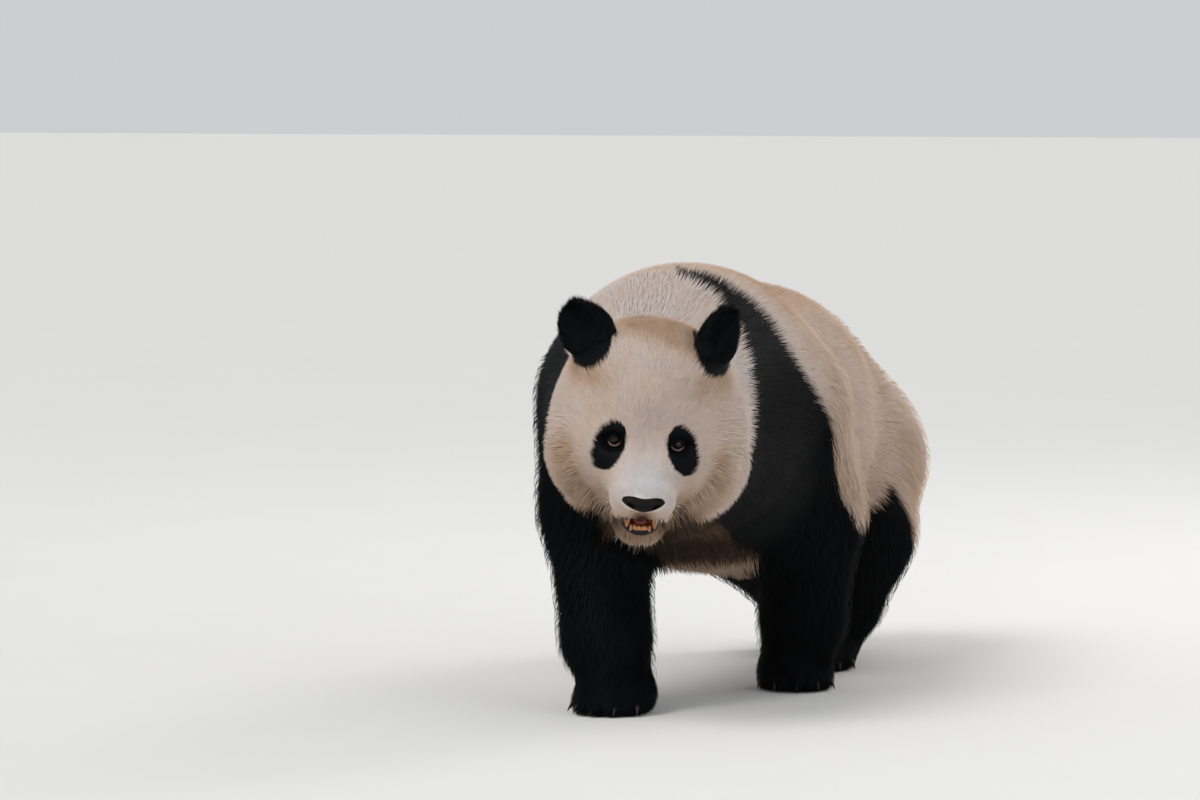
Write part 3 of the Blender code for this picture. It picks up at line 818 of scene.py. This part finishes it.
def growTufts(root, normal, rng, grow, clumpSize, lift=0.0, tipReach=0.0015, hang=0.0):
    # A root, a direction and a tip for each tuft; tips end in the coat's outer layer, drawn into locks
    parts, q = bodyParts(root)
    share, depth, count = shares(parts), depthOf(parts, q), len(root)
    lie = lieOfCoat(root, q, share, normal)
    sway = rng.normal(0, coatSettings["sway"], (count, 1)).astype(np.float32)
    lie = unit(lie + np.cross(normal, lie) * sway)
    reach = (coatSettings["lengthBase"] + coatSettings["lengthPerDepth"] * depth) * grow
    short = bell(length(mirrored(q) - vec(0.060, -0.012, -0.006)) / 0.040)  # about the eyes and the mouth
    short = short + softStep(0.016, 0.004, mouthShape(q))
    frontal = softStep(0.17, 0.07, length(q - vec(0, -0.08, 0.0)))
    reach = reach * rng.uniform(*coatSettings["lengthSpread"], count).astype(np.float32)
    reach = reach * (1 - 0.45 * short) * (1 - 0.25 * frontal)
    tip = root + lie * reach[:, None] + normal * (depth * 0.8 + lift * reach)[:, None]
    group, size = clumpOf(root, lie, clumpSize)
    middle = np.column_stack([np.bincount(group, tip[:, k]) / size for k in range(3)])
    pull = coatSettings["clumpPull"] * softStep(0.003, 0.014, depth) * rng.uniform(0.4, 1.0, count)
    tip = tip + (middle[group].astype(np.float32) - tip) * pull.astype(np.float32)[:, None]
    level = joined(bodyParts(tip)[0])
    under = depth * np.abs(rng.normal(0, coatSettings["tipSpread"], count)).astype(np.float32)
    wanted = tipReach - under + lift * reach * 0.5
    tip = tip + normal * np.clip(wanted - level, -2.0 * depth, depth + 2 * lift * reach)[:, None]
    tip = tip + vec(0, 0, -1) * (hang * reach)[:, None]
    tip[:, 2] = np.maximum(tip[:, 2], 0.0015)
    groupTone = np.random.default_rng(5).random(len(size)).astype(np.float32)[group]
    tone = np.clip(0.5 * rng.random(count).astype(np.float32) + 0.5 * groupTone, 0, 1)
    width = coatSettings["widthBase"] + coatSettings["widthPerDepth"] * depth
    width = (width * rng.uniform(*coatSettings["widthSpread"], count)).astype(np.float32)
    middle = root + (tip - root) * 0.5  # the colour's edges are where the tufts show, not at their roots
    middleParts, middleHead = bodyParts(middle)
    black = blackness(middle, middleHead, middleParts) + rng.uniform(-0.3, 0.3, count) > 0.5
    marks = {"black": black.astype(np.float32), "warmAndShade": warmthAndShade(middle, middleHead, share), "tone": tone}
    return {"root": root, "normal": normal, "lie": lie, "tip": tip, "width": width, "marks": marks, "q": q}


def tuftMesh(name, tufts, unwrap, bent):
    # Each tuft is a closed spike: a small triangle at the root, one more half way if bent, and a tip
    n, count = tufts["normal"], len(tufts["root"])
    side = np.cross(n, tufts["lie"])
    w = tufts["width"][:, None]
    root, tip = tufts["root"] - n * coatSettings["sink"], tufts["tip"]
    rings = [(root, 1.0, 0.0)]
    if bent:
        middle = root + (tip - root) * 0.5 + n * (coatSettings["bend"] * length(tip - root))[:, None]
        rings.append((middle, 0.85, 0.5))
    columns, normals, along = [], [], []
    lean = side * coatSettings["normalLean"]
    for centre, scale, level in rings:
        across = side * w * 0.5 * scale
        columns += [centre - across, centre + across, centre + n * w * coatSettings["thick"] * scale]
        normals += [n * 0.95 - lean, n * 0.95 + lean, n]
        along += [level] * 3
    columns.append(tip)
    normals.append(n)
    along.append(1.0)
    each, last = len(columns), len(columns) - 4
    faces = [(0, 2, 1)]
    for k in range(0, last, 3):
        for a, b in ((0, 1), (1, 2), (2, 0)):
            faces += [(k + a, k + b, k + b + 3), (k + a, k + b + 3, k + a + 3)]
    faces += [(last + a, last + b, each - 1) for a, b in ((0, 1), (1, 2), (2, 0))]
    faces = (np.array(faces)[None] + (np.arange(count) * each)[:, None, None]).reshape(-1, 3)
    half = coatSettings["patch"] / 2
    corner = np.array([(-half, -half), (half, -half), (0, 0)] * len(rings) + [(0, half)], np.float32)
    corner[3:-1] *= 0.5
    uv = (np.clip(unwrap, half, 1 - half)[:, None] + corner[None]).reshape(-1, 2)
    marks = {key: np.repeat(values, each) for key, values in tufts["marks"].items()}
    marks["along"] = np.tile(np.array(along, np.float32), count)
    marks["across"] = np.tile(np.array([-1, 1, 0] * len(rings) + [0], np.float32), count)
    points = np.stack(columns, axis=1).reshape(-1, 3)
    return addMesh(name, points, faces, marks, np.stack(normals, axis=1).reshape(-1, 3), uv)


def headUnwrap(q):  # angle from the face's forward direction as the radius, bearing round it as the angle
    way = unit(q - vec(0, 0.09, -0.02))
    angle = np.arccos(np.clip(-way[:, 1], -1, 1)) / np.pi
    bearing = np.arctan2(way[:, 2], way[:, 0])
    return 0.5 + 0.49 * np.column_stack([angle * np.cos(bearing), angle * np.sin(bearing)])


def roundUnwrap(p, axisX, axisZ):  # angle round a lengthwise axis, and the place along it
    turn = np.arctan2(p[:, 0] - axisX, p[:, 2] - axisZ) / (2 * np.pi) + 0.5
    low, high = p[:, 1].min(), p[:, 1].max() + 1e-6
    return np.column_stack([turn, (p[:, 1] - low) / (high - low)])


def legUnwrap(p, names, high):  # angle round each leg's axis beside the other leg's, and the height
    found = np.zeros((len(p), 2), np.float32)
    best = np.full(len(p), 1e9, np.float32)
    for k, name in enumerate(names):
        leg = legForm[name]
        xs, ys, levels = zip(*sorted([*leg["joints"], leg["paw"]], key=lambda joint: joint[2]))
        x, y = p[:, 0] - np.interp(p[:, 2], levels, xs), p[:, 1] - np.interp(p[:, 2], levels, ys)
        near = np.hypot(x, y)
        mine = near < best
        turn = (np.arctan2(x, y) / (2 * np.pi) + 0.5) * 0.98
        found[mine] = np.column_stack([(turn + k) * (1 / len(names)), p[:, 2] / high])[mine]
        best[mine] = near[mine]
    return found


def earUnwrap(q):  # front and back of each flap as a square each
    found = np.zeros((len(q), 2), np.float32)
    for k, name in enumerate(earNames):
        mine = (q[:, 0] > 0) == (k == 0)
        local = inEar(q, name)
        flat = local[:, [0, 2]] / np.array([0.058, 0.066]) * 0.24
        place = flat + np.column_stack([0.25 + 0.5 * (local[:, 1] > 0), np.full(len(q), 0.25 + 0.5 * k)])
        found[mine] = place[mine]
    return found


legSheets = {  # the legs that share a sheet, and how high it reaches
    "forelegs": (("front_left", "front_right"), 0.75), "hindlegs": (("hind_left", "hind_right"), 0.65),
    "legs": (tuple(legForm), 0.75),
}


def unwrapFor(sheet, tufts):
    if sheet == "head":
        return headUnwrap(tufts["q"])
    if sheet == "ears":
        return earUnwrap(tufts["q"])
    if sheet in legSheets:
        return legUnwrap(tufts["root"], *legSheets[sheet])
    return roundUnwrap(tufts["root"], marking["spine"], 0.46)


# What each face of the skin belongs to, and where it stays bare
faceCentres = skinPoints[skinQuads].mean(axis=1)
faceNormals = unit(skinNormals[skinQuads].mean(axis=1))
faceParts, faceHead = bodyParts(faceCentres)
owner = np.array(list(faceParts))[np.stack(list(faceParts.values())).argmin(axis=0)]
fromNose = length(faceHead - vec(0, -0.10, -0.06))
padGap = length((faceHead - vec(*noseForm["centre"])) / (vec(*noseForm["half"]) - 0.0020))
bare = mouthShape(faceHead) < lipReach(faceHead, *skinLook["bareWidth"])
bare |= length(fromEye(faceHead, -0.006)) < 0.0145
bare |= (padGap < 1) & (faceHead[:, 2] < noseForm["top"] - 0.001)
bare |= faceCentres[:, 2] < 0.004
isHead = owner == "head"
isEar = np.char.startswith(owner, "ear")
isFore = np.char.find(owner, "front") >= 0
isHind = np.char.find(owner, "hind") >= 0
isTrunk = np.isin(owner, ["trunk", "tail"])
isPaw = np.char.startswith(owner, "paw")
fairCoat = coatMaterial("fairCoat", coatColour["fairGloss"])
darkCoat = coatMaterial("darkCoat", coatColour["darkGloss"])


def addCoat(name, seed, density, count, slotName, sheet, bent, *growth):  # growth is as in growTufts
    rng = np.random.default_rng(seed)
    root, normal = pickRoots(density, count, rng)
    tufts = growTufts(root, normal, rng, *growth)
    piece = tuftMesh(name, tufts, unwrapFor(sheet, tufts), bent)
    finishPiece(piece, darkCoat if slotName == "black_coat" else fairCoat, slotName)
    print(name, len(piece.data.polygons), "triangles")


along = faceCentres[:, 1]  # from the chest, below 0, to the tail, over 0.9
coats = {  # where it grows, how many tufts, slot, sheet, their length's share and the size of their locks
    "coatFace": (isHead & (fromNose < 0.135), 46000, "white_coat", "head", 1.0, 0.005),
    "coatHead": (isHead & (fromNose >= 0.135), 46000, "white_coat", "head", 1.0, 0.008),
    "coatEars": (isEar, 18000, "black_coat", "ears", 0.75, 0.005),
    "coatNeck": (owner == "neck", 26000, "white_coat", "trunk", 1.0, 0.012),
    "coatShoulders": (isTrunk & (along < 0.15), 36000, "black_coat", "trunk", 1.0, 0.012),
    "coatFlanks": (isTrunk & (along >= 0.15) & (along < 0.52), 34000, "white_coat", "trunk", 1.0, 0.012),
    "coatRump": (isTrunk & (along >= 0.52), 34000, "white_coat", "trunk", 1.0, 0.012),
    "coatForelegs": (isFore, 36000, "black_coat", "forelegs", 1.0, 0.012),
    "coatHindlegs": (isHind, 30000, "black_coat", "hindlegs", 1.0, 0.012),
}
denser = {  # more tufts toward the nose and the front of the head
    "coatFace": 1 + 1.5 * softStep(0.11, 0.04, fromNose),
    "coatHead": 1 + 1.3 * softStep(0.17, 0.09, faceHead[:, 1]),
}
for k, (name, (where, count, slotName, sheet, grow, lock)) in enumerate(coats.items()):
    density = (where & ~bare) * np.where(isPaw, 2.2, 1.0) * denser.get(name, 1.0)
    addCoat(name, 100 + k, density, count, slotName, sheet, False, grow, lock)


def cheekHair():  # a ring round the face, from the ears' foot down, that ends before the throat
    level = faceLevel(faceHead)
    ring = softStep(0.104, 0.128, np.hypot(faceHead[:, 0], level + 0.005))
    low = (0.05 + softStep(0.0, -0.055, level)) * (level < 0.08)
    found = isHead * ring * low * ~bare * softStep(-0.95, -0.80, faceNormals[:, 2])
    return found * softStep(0.15, 0.10, faceHead[:, 1])


def earHair():  # thin on the flaps, thick toward their rims
    rim = np.zeros(len(faceHead), np.float32)
    for name in earNames:
        local = inEar(faceHead, name)
        away = np.hypot(local[:, 0] / earForm["half"][0], local[:, 2] / earForm["half"][2])
        rim += softStep(0.72, 0.86, away) * (owner == name)
    return isEar * (0.15 + rim)


def bellyHair():  # along the middle of the belly, where it faces down
    low = (isTrunk & (faceNormals[:, 2] < -0.80)) * softStep(0.12, 0.09, np.abs(faceCentres[:, 0] + 0.03))
    return low * softStep(-0.2, -0.1, along)


# Long bent hair that breaks the outline
rumpHair = (isTrunk & (along > 0.60)) * softStep(0.55, 0.85, along)
legHair = (isFore | isHind) * softStep(0.06, 0.12, faceCentres[:, 2])
ruffs = {  # as for coats, then the lift off the skin, the tips' reach past the coat and how far they hang
    "ruffCheeks": (cheekHair(), 10000, "white_coat", "head", 1.42, 0.010, 0.20, 0.003, 0.38),
    "ruffEars": (earHair(), 6000, "black_coat", "ears", 1.0, 0.010, 0.20, 0.003, 0.0),
    "ruffBelly": (bellyHair(), 2500, "white_coat", "trunk", 0.9, 0.010, 0.0, 0.0, 0.50),
    "ruffRump": (rumpHair, 4500, "white_coat", "trunk", 1.15, 0.010, 0.25, 0.004, 0.0),
    "ruffLegs": (legHair, 4000, "black_coat", "legs", 1.15, 0.010, 0.12, 0.004, 0.0),
}
for k, (name, (density, count, slotName, sheet, *growth)) in enumerate(ruffs.items()):
    addCoat(name, 200 + k, density.astype(np.float32), count, slotName, sheet, True, *growth)

eyeLook = {
    "iris": 0.0086, "pupil": 0.0034, "corneaRise": 0.0010, "skinGap": 0.0002,
    "openHalf": (0.0082, 0.0072), "lidRadius": 0.0015, "lidGap": 0.0004,
    "pupilColour": (0.002, 0.002, 0.002), "innerIris": (0.010, 0.005, 0.003),
    "outerIris": (0.020, 0.010, 0.006), "limbus": (0.003, 0.002, 0.002), "white": (0.09, 0.06, 0.05),
    "lid": [(0.3, (0.003, 0.003, 0.003)), (0.8, (0.009, 0.007, 0.007))], "lowerEdge": (0.26, 0.17, 0.17, 1),
}


def eyeballShape(rows=40, columns=64):
    # a ball about the view axis -Y, with the clear front raised by a smooth bulge inside the iris
    ball, rise, gap = eyeForm["radius"], eyeLook["corneaRise"], eyeLook["skinGap"]
    tilt = np.linspace(0, np.pi, rows + 2)[1:-1]
    turn = np.linspace(0, 2 * np.pi, columns, endpoint=False)
    a, b = np.meshgrid(tilt, turn, indexing="ij")
    inIris = np.clip(1 - np.square(ball * np.sin(a) / (eyeLook["iris"] * 1.1)), 0, 1) ** 1.5
    radius = ball - gap + rise * (a < np.pi / 2) * inIris
    flat = radius * np.sin(a)
    rings = np.stack([flat * np.cos(b), -radius * np.cos(a), flat * np.sin(b)], -1)
    points, faces = closedRings(rings, (0, gap - ball - rise, 0), (0, ball - gap, 0))
    return points, faces[:, ::-1]


def eyeMaterial():
    # dark brown iris with fine rays, black pupil, a dark limbus and a little white at the edge
    look = Look("wetEye", Coat_Weight=0.65, Coat_Roughness=0.02, Specular_IOR_Level=0.0)
    off = look.attribute("off") + (look.noise(900.0, 3.0) - 0.5) * 0.0012
    pupil, iris = eyeLook["pupil"] / eyeForm["radius"], eyeLook["iris"] / eyeForm["radius"]
    black = eyeLook["pupilColour"]
    stops = [
        (0.0, black), (pupil, black), (pupil + 0.06, eyeLook["innerIris"]),
        (iris - 0.10, eyeLook["outerIris"]), (iris, eyeLook["limbus"]), (iris + 0.07, eyeLook["white"]),
    ]
    return look.use(Base_Color=look.ramp(off, stops), Roughness=0.06 + look.noise(300.0) * 0.04)


def lidRing(side, rows=12, columns=56):
    # A rim of round section on the ball, round an oval opening that is pointed at the inner corner.
    # The section's cosine widens the ring of points, and its sine lifts it off the ball.
    turn = np.linspace(0, 2 * np.pi, columns, endpoint=False)
    halfX, halfZ = eyeLook["openHalf"]
    x = halfX * np.cos(turn) * (1 + 0.18 * np.clip(-np.cos(turn), 0, 1) ** 6)
    z = halfZ * np.sin(turn) * np.where(np.sin(turn) < 0, 1.0, 0.80)
    bearing = np.arctan2(z, x)
    section = np.linspace(-0.5 * np.pi, 1.5 * np.pi, rows, endpoint=False)[:, None]
    tube = eyeLook["lidRadius"]
    spread = np.hypot(x, z)[None] + tube * (1.2 + 1.2 * np.cos(section)) * 1.4
    radius = eyeForm["radius"] + eyeLook["lidGap"] + tube * (1 + np.sin(section))
    tilt = np.clip(spread / eyeForm["radius"], 0, 1.45)
    flat = radius * np.sin(tilt)
    rings = [flat * np.cos(bearing) * side, -radius * np.cos(tilt), flat * np.sin(bearing)]
    faces = gridFaces(rows + 1, columns) % (rows * columns)
    lower = softStep(0.1, 0.8, -np.sin(turn))[None] * bell((section - np.pi * 0.75) / 0.7)
    return np.stack(rings, -1).reshape(-1, 3), faces[:, ::-side], lower.ravel()


def lidMaterial():
    look = Look("lidSkin", Specular_IOR_Level=0.12)
    lower = look.attribute("lower")
    colour = look.blend(lower * 0.9, look.ramp(look.noise(500.0), eyeLook["lid"]), eyeLook["lowerEdge"])
    pores = look.bump(look.cells(1400.0), 0.4, 0.0004)
    return look.use(Base_Color=colour, Roughness=0.42 - lower * 0.18, Normal=pores)


def addAtEye(name, side, points, faces, attributes):  # a shape made about the eye's centre
    gaze = turned((eyeForm["gaze"], 0, 0))
    centre = np.array(eyeForm["place"]) * (side, 1, 1)
    return addMesh(name, fromHead(points @ gaze.T + centre), faces, attributes)


eyePoints, eyeFaces = eyeballShape()
eyeOff = np.hypot(eyePoints[:, 0], eyePoints[:, 2]) / eyeForm["radius"]  # off the view axis, 1 at the rim
eyeOff[eyePoints[:, 1] > 0] = 1.0
wetEye, lidSkin = eyeMaterial(), lidMaterial()
eyeSides = (("left", 1), ("right", -1))
for name, side in eyeSides:
    ball = addAtEye("eyeball_" + name, side, eyePoints, eyeFaces, {"off": eyeOff})
    finishPiece(ball, wetEye, "eye", "eye_" + name)
for name, side in eyeSides:
    lidPoints, lidFaces, lower = lidRing(side)
    lids = addAtEye("lids_" + name, side, lidPoints, lidFaces, {"lower": lower})
    finishPiece(lids, lidSkin, "black_coat")
print("eyes")

noseBox = {"low": (-0.042, -0.134, -0.086), "high": (0.042, -0.078, -0.034), "step": 0.0009}
noseLeather = [(0.3, (0.0022, 0.0019, 0.0019)), (0.8, (0.0065, 0.0052, 0.0050))]


def noseShape(q):
    # a broad pad cut flat above and by two slopes that meet low in the middle, with nostrils and a groove
    s = mirrored(q)
    slope = noseForm["slope"]
    low = (noseForm["low"] + slope * s[:, 0] - q[:, 2]) / math.hypot(1, slope)
    top = noseForm["top"] - noseForm["dip"] * bell(q[:, 0] / noseForm["dipWidth"])
    d = smoothMax(ellipsoid(q, noseForm["centre"], noseForm["half"]), low, 0.009)
    d = smoothMax(d, q[:, 2] - top, 0.006)
    d = smoothMax(d, -ellipsoid(s, *noseForm["nostril"]), 0.002)
    return smoothMax(d, -ellipsoid(q, *noseForm["groove"]), 0.003)


def noseMaterial():
    # black leather of small raised cells, moist on top
    look = Look("noseLeather", Coat_Roughness=0.3, Specular_IOR_Level=0.09)
    colour = look.ramp(look.noise(90.0, 4.0), noseLeather)
    height = look.maths("MINIMUM", look.cells(620.0, "DISTANCE_TO_EDGE") * 4.0, 0.35)
    grain = look.bump(height, 0.5, 0.0006)
    roughness, wet = 0.46 + look.noise(160.0) * 0.16, look.noise(60.0) * 0.12
    return look.use(Base_Color=colour, Roughness=roughness, Coat_Weight=wet, Normal=grain)


nose = addMesh("nosePad", *shapeMesh(noseShape, **noseBox))
finishPiece(nose, noseMaterial(), "nose_leather", "nose")
print("nose")

teethForm = {
    "canines": [  # root, tip, radius, forward bend and stain of the upper and the lower one
        ((0.0222, -0.085, -0.080), (0.0232, -0.0945, -0.1115), 0.0056, -0.006, 0.85),
        ((0.0150, -0.083, -0.123), (0.0154, -0.086, -0.1104), 0.0026, -0.002, 0.6),
    ],
    "cheekTeeth": 3, "cheekRadius": 0.0042, "incisors": 6, "incisorGap": 0.0040, "incisorRadius": 0.0026,
    "enamel": [(0.12, (0.50, 0.30, 0.13)), (0.5, (0.44, 0.17, 0.045)), (0.95, (0.25, 0.075, 0.018))],
    "rings": 9,
}


def toothShape(root, tip, radius, bend):
    # a round section that swells, then tapers to a blunt point, on a path bent forward
    t = np.linspace(0, 1, teethForm["rings"])
    root, tip = np.array(root), np.array(tip)
    path = root + (tip - root) * t[:, None] + np.array((0, bend, 0)) * (t * (1 - t))[:, None]
    return tubeShape(path, radius * np.sqrt(np.clip(1.02 - t ** 2.2, 0.01, 1)), 12, 0.85)


def toothMaterial():
    look = Look("toothEnamel", Specular_IOR_Level=0.5, Coat_Weight=0.3, Coat_Roughness=0.1)
    stain = look.attribute("stain") * 0.75 + look.noise(220.0, 3.0) * 0.35
    colour = look.ramp(stain, teethForm["enamel"])
    return look.use(Base_Color=colour, Roughness=0.25 + look.noise(400.0) * 0.2)


def makeTeeth():
    rows = []
    for side in (-1, 1):
        for root, tip, *rest in teethForm["canines"]:
            rows.append([np.multiply(root, (side, 1, 1)), np.multiply(tip, (side, 1, 1)), *rest])
        for k in range(teethForm["cheekTeeth"]):
            x, y = side * (0.0215 + 0.0012 * k), -0.066 + 0.010 * k
            rows.append([(x, y, -0.120), (x, y, -0.1085), teethForm["cheekRadius"], 0, 0.7])
    for k in range(teethForm["incisors"]):
        x = (k - (teethForm["incisors"] - 1) / 2) * teethForm["incisorGap"]
        y = -0.0865 + abs(x) * 0.25
        tip = (x * 1.02, y - 0.0022, -0.1108 - 0.0007 * (k % 2))
        rows.append([(x, y, -0.122), tip, teethForm["incisorRadius"], -0.001, 0.25 + 0.1 * (k % 2)])
    points, faces, which = gathered([toothShape(*row[:4]) for row in rows])
    return fromHead(points), faces, {"stain": np.array([row[4] for row in rows])[which]}


finishPiece(addMesh("teeth", *makeTeeth()), toothMaterial(), "teeth")

tongueForm = {
    "body": ((0, -0.056, -0.1125), (0.0125, 0.021, 0.0066)),
    "groove": ((0, -0.056, -0.1030), (0.0020, 0.026, 0.0042)),
    "flesh": [(0.3, (0.20, 0.055, 0.040)), (0.75, (0.34, 0.11, 0.075))], "under": (0.004, 0.002, 0.001),
}
tongueBox = {"low": (-0.017, -0.082, -0.122), "high": (0.017, -0.030, -0.102), "step": 0.0007}


def tongueShape(q):  # a flat ellipsoid with a long groove
    return smoothMax(ellipsoid(q, *tongueForm["body"]), -ellipsoid(q, *tongueForm["groove"]), 0.004)


def tongueMaterial():
    look = Look("tongueFlesh", Specular_IOR_Level=0.6)
    look.use(Subsurface_Weight=0.15, Subsurface_Radius=tongueForm["under"])
    colour = look.ramp(look.noise(180.0, 3.0), tongueForm["flesh"])
    buds = look.bump(look.cells(800.0), 0.5, 0.0005)
    return look.use(Base_Color=colour, Roughness=0.22 + look.noise(300.0) * 0.15, Normal=buds)


tongue = addMesh("tongueBody", *shapeMesh(tongueShape, **tongueBox))
finishPiece(tongue, tongueMaterial(), "tongue", "tongue")
print("mouth")

clawLook = {
    "length": 0.018, "radius": 0.0046, "drop": 0.0135, "rings": 12,
    "horn": [(0.3, (0.008, 0.006, 0.005)), (0.75, (0.030, 0.023, 0.018))],
}


def clawShape(root, way):
    # a flattened section carried along an arc that leaves along the toe and bends down to a point
    t = np.linspace(0, 1, clawLook["rings"])[:, None]
    path = root + way * (clawLook["length"] * t) + np.array([0, 0, -clawLook["drop"]]) * t ** 1.8
    path = path + np.array([0, 0, 0.004]) * t * (1 - t) * 2
    return tubeShape(path, clawLook["radius"] * (1 - t[:, 0] ** 1.6 * 0.93), 10, 1.15)


def clawMaterial():
    look = Look("clawHorn", Specular_IOR_Level=0.25)
    lines = look.noise(350.0, 4.0, 0.6)
    colour, ridges = look.ramp(lines, clawLook["horn"]), look.bump(lines, 0.3, 0.0005)
    return look.use(Base_Color=colour, Roughness=0.30 + lines * 0.25, Normal=ridges)


def makeClaws():
    shapes = []
    for name, leg in legForm.items():
        turn = np.array(Matrix.Rotation(math.radians(leg["toeTurn"]), 3, "Z"))
        for centre, way in toes(name):
            root = np.array(centre + way * 0.012 + Vector((0, 0, -0.002)))
            ahead = np.array((way + Vector((0, -0.9, 0))).normalized())
            points, faces = clawShape(root, ahead)
            shapes.append((points @ turn.T + np.array(leg["paw"]), faces))
    return gathered(shapes)[:2]


finishPiece(addMesh("clawSet", *makeClaws()), clawMaterial(), "claws")
print("claws")

whiskerLook = {
    "chin": 60, "lip": 36, "radius": 0.00032,
    "hair": [(0.35, (0.34, 0.28, 0.23)), (0.65, (0.66, 0.61, 0.56))],
}


def threadShape(root, way, reach, sag, radius):
    # a round section tapering along root + way t + sag t t
    t = np.linspace(0, 1, 6)[:, None]
    way = way * (reach / np.linalg.norm(way))
    return tubeShape(root + way * t + np.array(sag) * t ** 2, radius * (1 - 0.85 * t[:, 0]), 4)


def makeWhiskers():
    # long hairs from the jaw's edge, falling forward and down, and some sideways from the lips
    rng = np.random.default_rng(77)
    radius, shapes = whiskerLook["radius"], []
    for _ in range(whiskerLook["chin"]):
        x = rng.uniform(-0.036, 0.036)
        y = -0.072 + 0.8 * abs(x) + rng.uniform(-0.008, 0.02)
        z = -0.146 + 8 * x * x + rng.uniform(-0.002, 0.004)
        way = np.array([x * 9 + rng.normal(0, 0.25), rng.uniform(-0.45, 0.1), -1.0])
        shapes.append(threadShape((x, y, z), way, rng.uniform(0.010, 0.026), (0, 0.003, -0.006), radius))
    for k in range(whiskerLook["lip"]):
        side = 1 if k % 2 else -1
        root = (side * rng.uniform(0.030, 0.050), rng.uniform(-0.085, -0.050), rng.uniform(-0.085, -0.062))
        way = np.array([side * rng.uniform(0.7, 1.2), rng.uniform(-0.3, 0.5), rng.uniform(-0.9, 0.1)])
        shapes.append(threadShape(root, way, rng.uniform(0.022, 0.045), (0, 0.006, -0.008), 0.8 * radius))
    points, faces, _ = gathered(shapes)
    return fromHead(points), faces


def whiskerMaterial():
    look = Look("whiskerHair", Specular_IOR_Level=0.4)
    colour = look.ramp(look.noise(60.0), whiskerLook["hair"])
    return look.use(Base_Color=colour, Roughness=0.45 + look.noise(120.0) * 0.2)


finishPiece(addMesh("whiskers", *makeWhiskers()), whiskerMaterial(), "white_coat")
print("whiskers")

stageLook = {
    "floorHalf": 60.0, "floor": [(0.3, (0.772, 0.772, 0.768)), (0.7, (0.782, 0.782, 0.778))],
    "worldColour": (0.98, 0.99, 1.0, 1), "worldStrength": 0.62,
}
sun = ((-1.6, -3.0, 4.4), (0, 0, 0.45), 1.35, (1.0, 0.98, 0.95))  # place, target, power and colour
sunWidth = 28.0  # in degrees: a soft one
lamps = {  # place, target, power and colour, then size and spread of each round lamp
    "catchlight": ((1.6, -10.5, 2.2), (0, -0.5, 0.5), 2.0, (1.0, 1.0, 1.0), 0.55, 25),
    "fill": ((4.0, -3.0, 1.8), (0, 0, 0.4), 6.4, (0.95, 0.97, 1.0), 3.0, 70),
    "rim": ((2.5, 3.5, 3.5), (0, 0.3, 0.5), 60, (1.0, 0.96, 0.9), 2.0, 180),
}
cameraView = {"place": (2.642, -9.908, 1.15), "azimuth": 16.0, "pitch": 3.475, "lens": 177.0, "sensor": 36.0}


def makeFloor():
    half = stageLook["floorHalf"]
    corners = np.array([(-half, -half, 0.0), (half, -half, 0.0), (half, half, 0.0), (-half, half, 0.0)])
    floor = addMesh("studioFloor", corners, np.array([[0, 1, 2, 3]]), smooth=False)
    look = Look("studioFloor", Specular_IOR_Level=0.2)
    colour = look.ramp(look.noise(3.0, 4.0), stageLook["floor"])
    floor.data.materials.append(look.use(Base_Color=colour, Roughness=0.8 + look.noise(8.0) * 0.1))


def aimed(name, data, place, way):  # a lamp or camera that looks along way
    obj = bpy.data.objects.new(name, data)
    bpy.context.scene.collection.objects.link(obj)
    obj.location = place
    obj.rotation_mode = "QUATERNION"
    obj.rotation_quaternion = way.to_track_quat("-Z", "Y")
    return obj


def addLight(name, kind, place, target, power, colour):
    light = bpy.data.lights.new(name, kind)
    light.energy, light.color = power, colour
    aimed(name, light, place, Vector(target) - Vector(place))
    return light


def addLights():  # a distant one, so that the floor is lit evenly, and the lamps
    addLight("key", "SUN", *sun).angle = math.radians(sunWidth)
    for name, (*common, size, spread) in lamps.items():
        lamp = addLight(name, "AREA", *common)
        lamp.shape, lamp.size, lamp.spread = "DISK", size, math.radians(spread)


def setWorld():
    world = bpy.data.worlds.new("studio")
    world.use_nodes = True
    background = world.node_tree.nodes["Background"]
    background.inputs["Color"].default_value = stageLook["worldColour"]
    background.inputs["Strength"].default_value = stageLook["worldStrength"]
    bpy.context.scene.world = world


def addCamera():
    camera = bpy.data.cameras.new("camera")
    camera.lens, camera.sensor_width = cameraView["lens"], cameraView["sensor"]
    camera.clip_end = 200
    a, e = math.radians(cameraView["azimuth"]), math.radians(cameraView["pitch"])
    way = Vector((-math.sin(a) * math.cos(e), math.cos(a) * math.cos(e), -math.sin(e)))
    bpy.context.scene.camera = aimed("camera", camera, Vector(cameraView["place"]) + Vector(shift), way)


makeFloor()
bpy.context.scene.view_settings.view_transform = "Standard"
setWorld()
addLights()
addCamera()
print("stage")
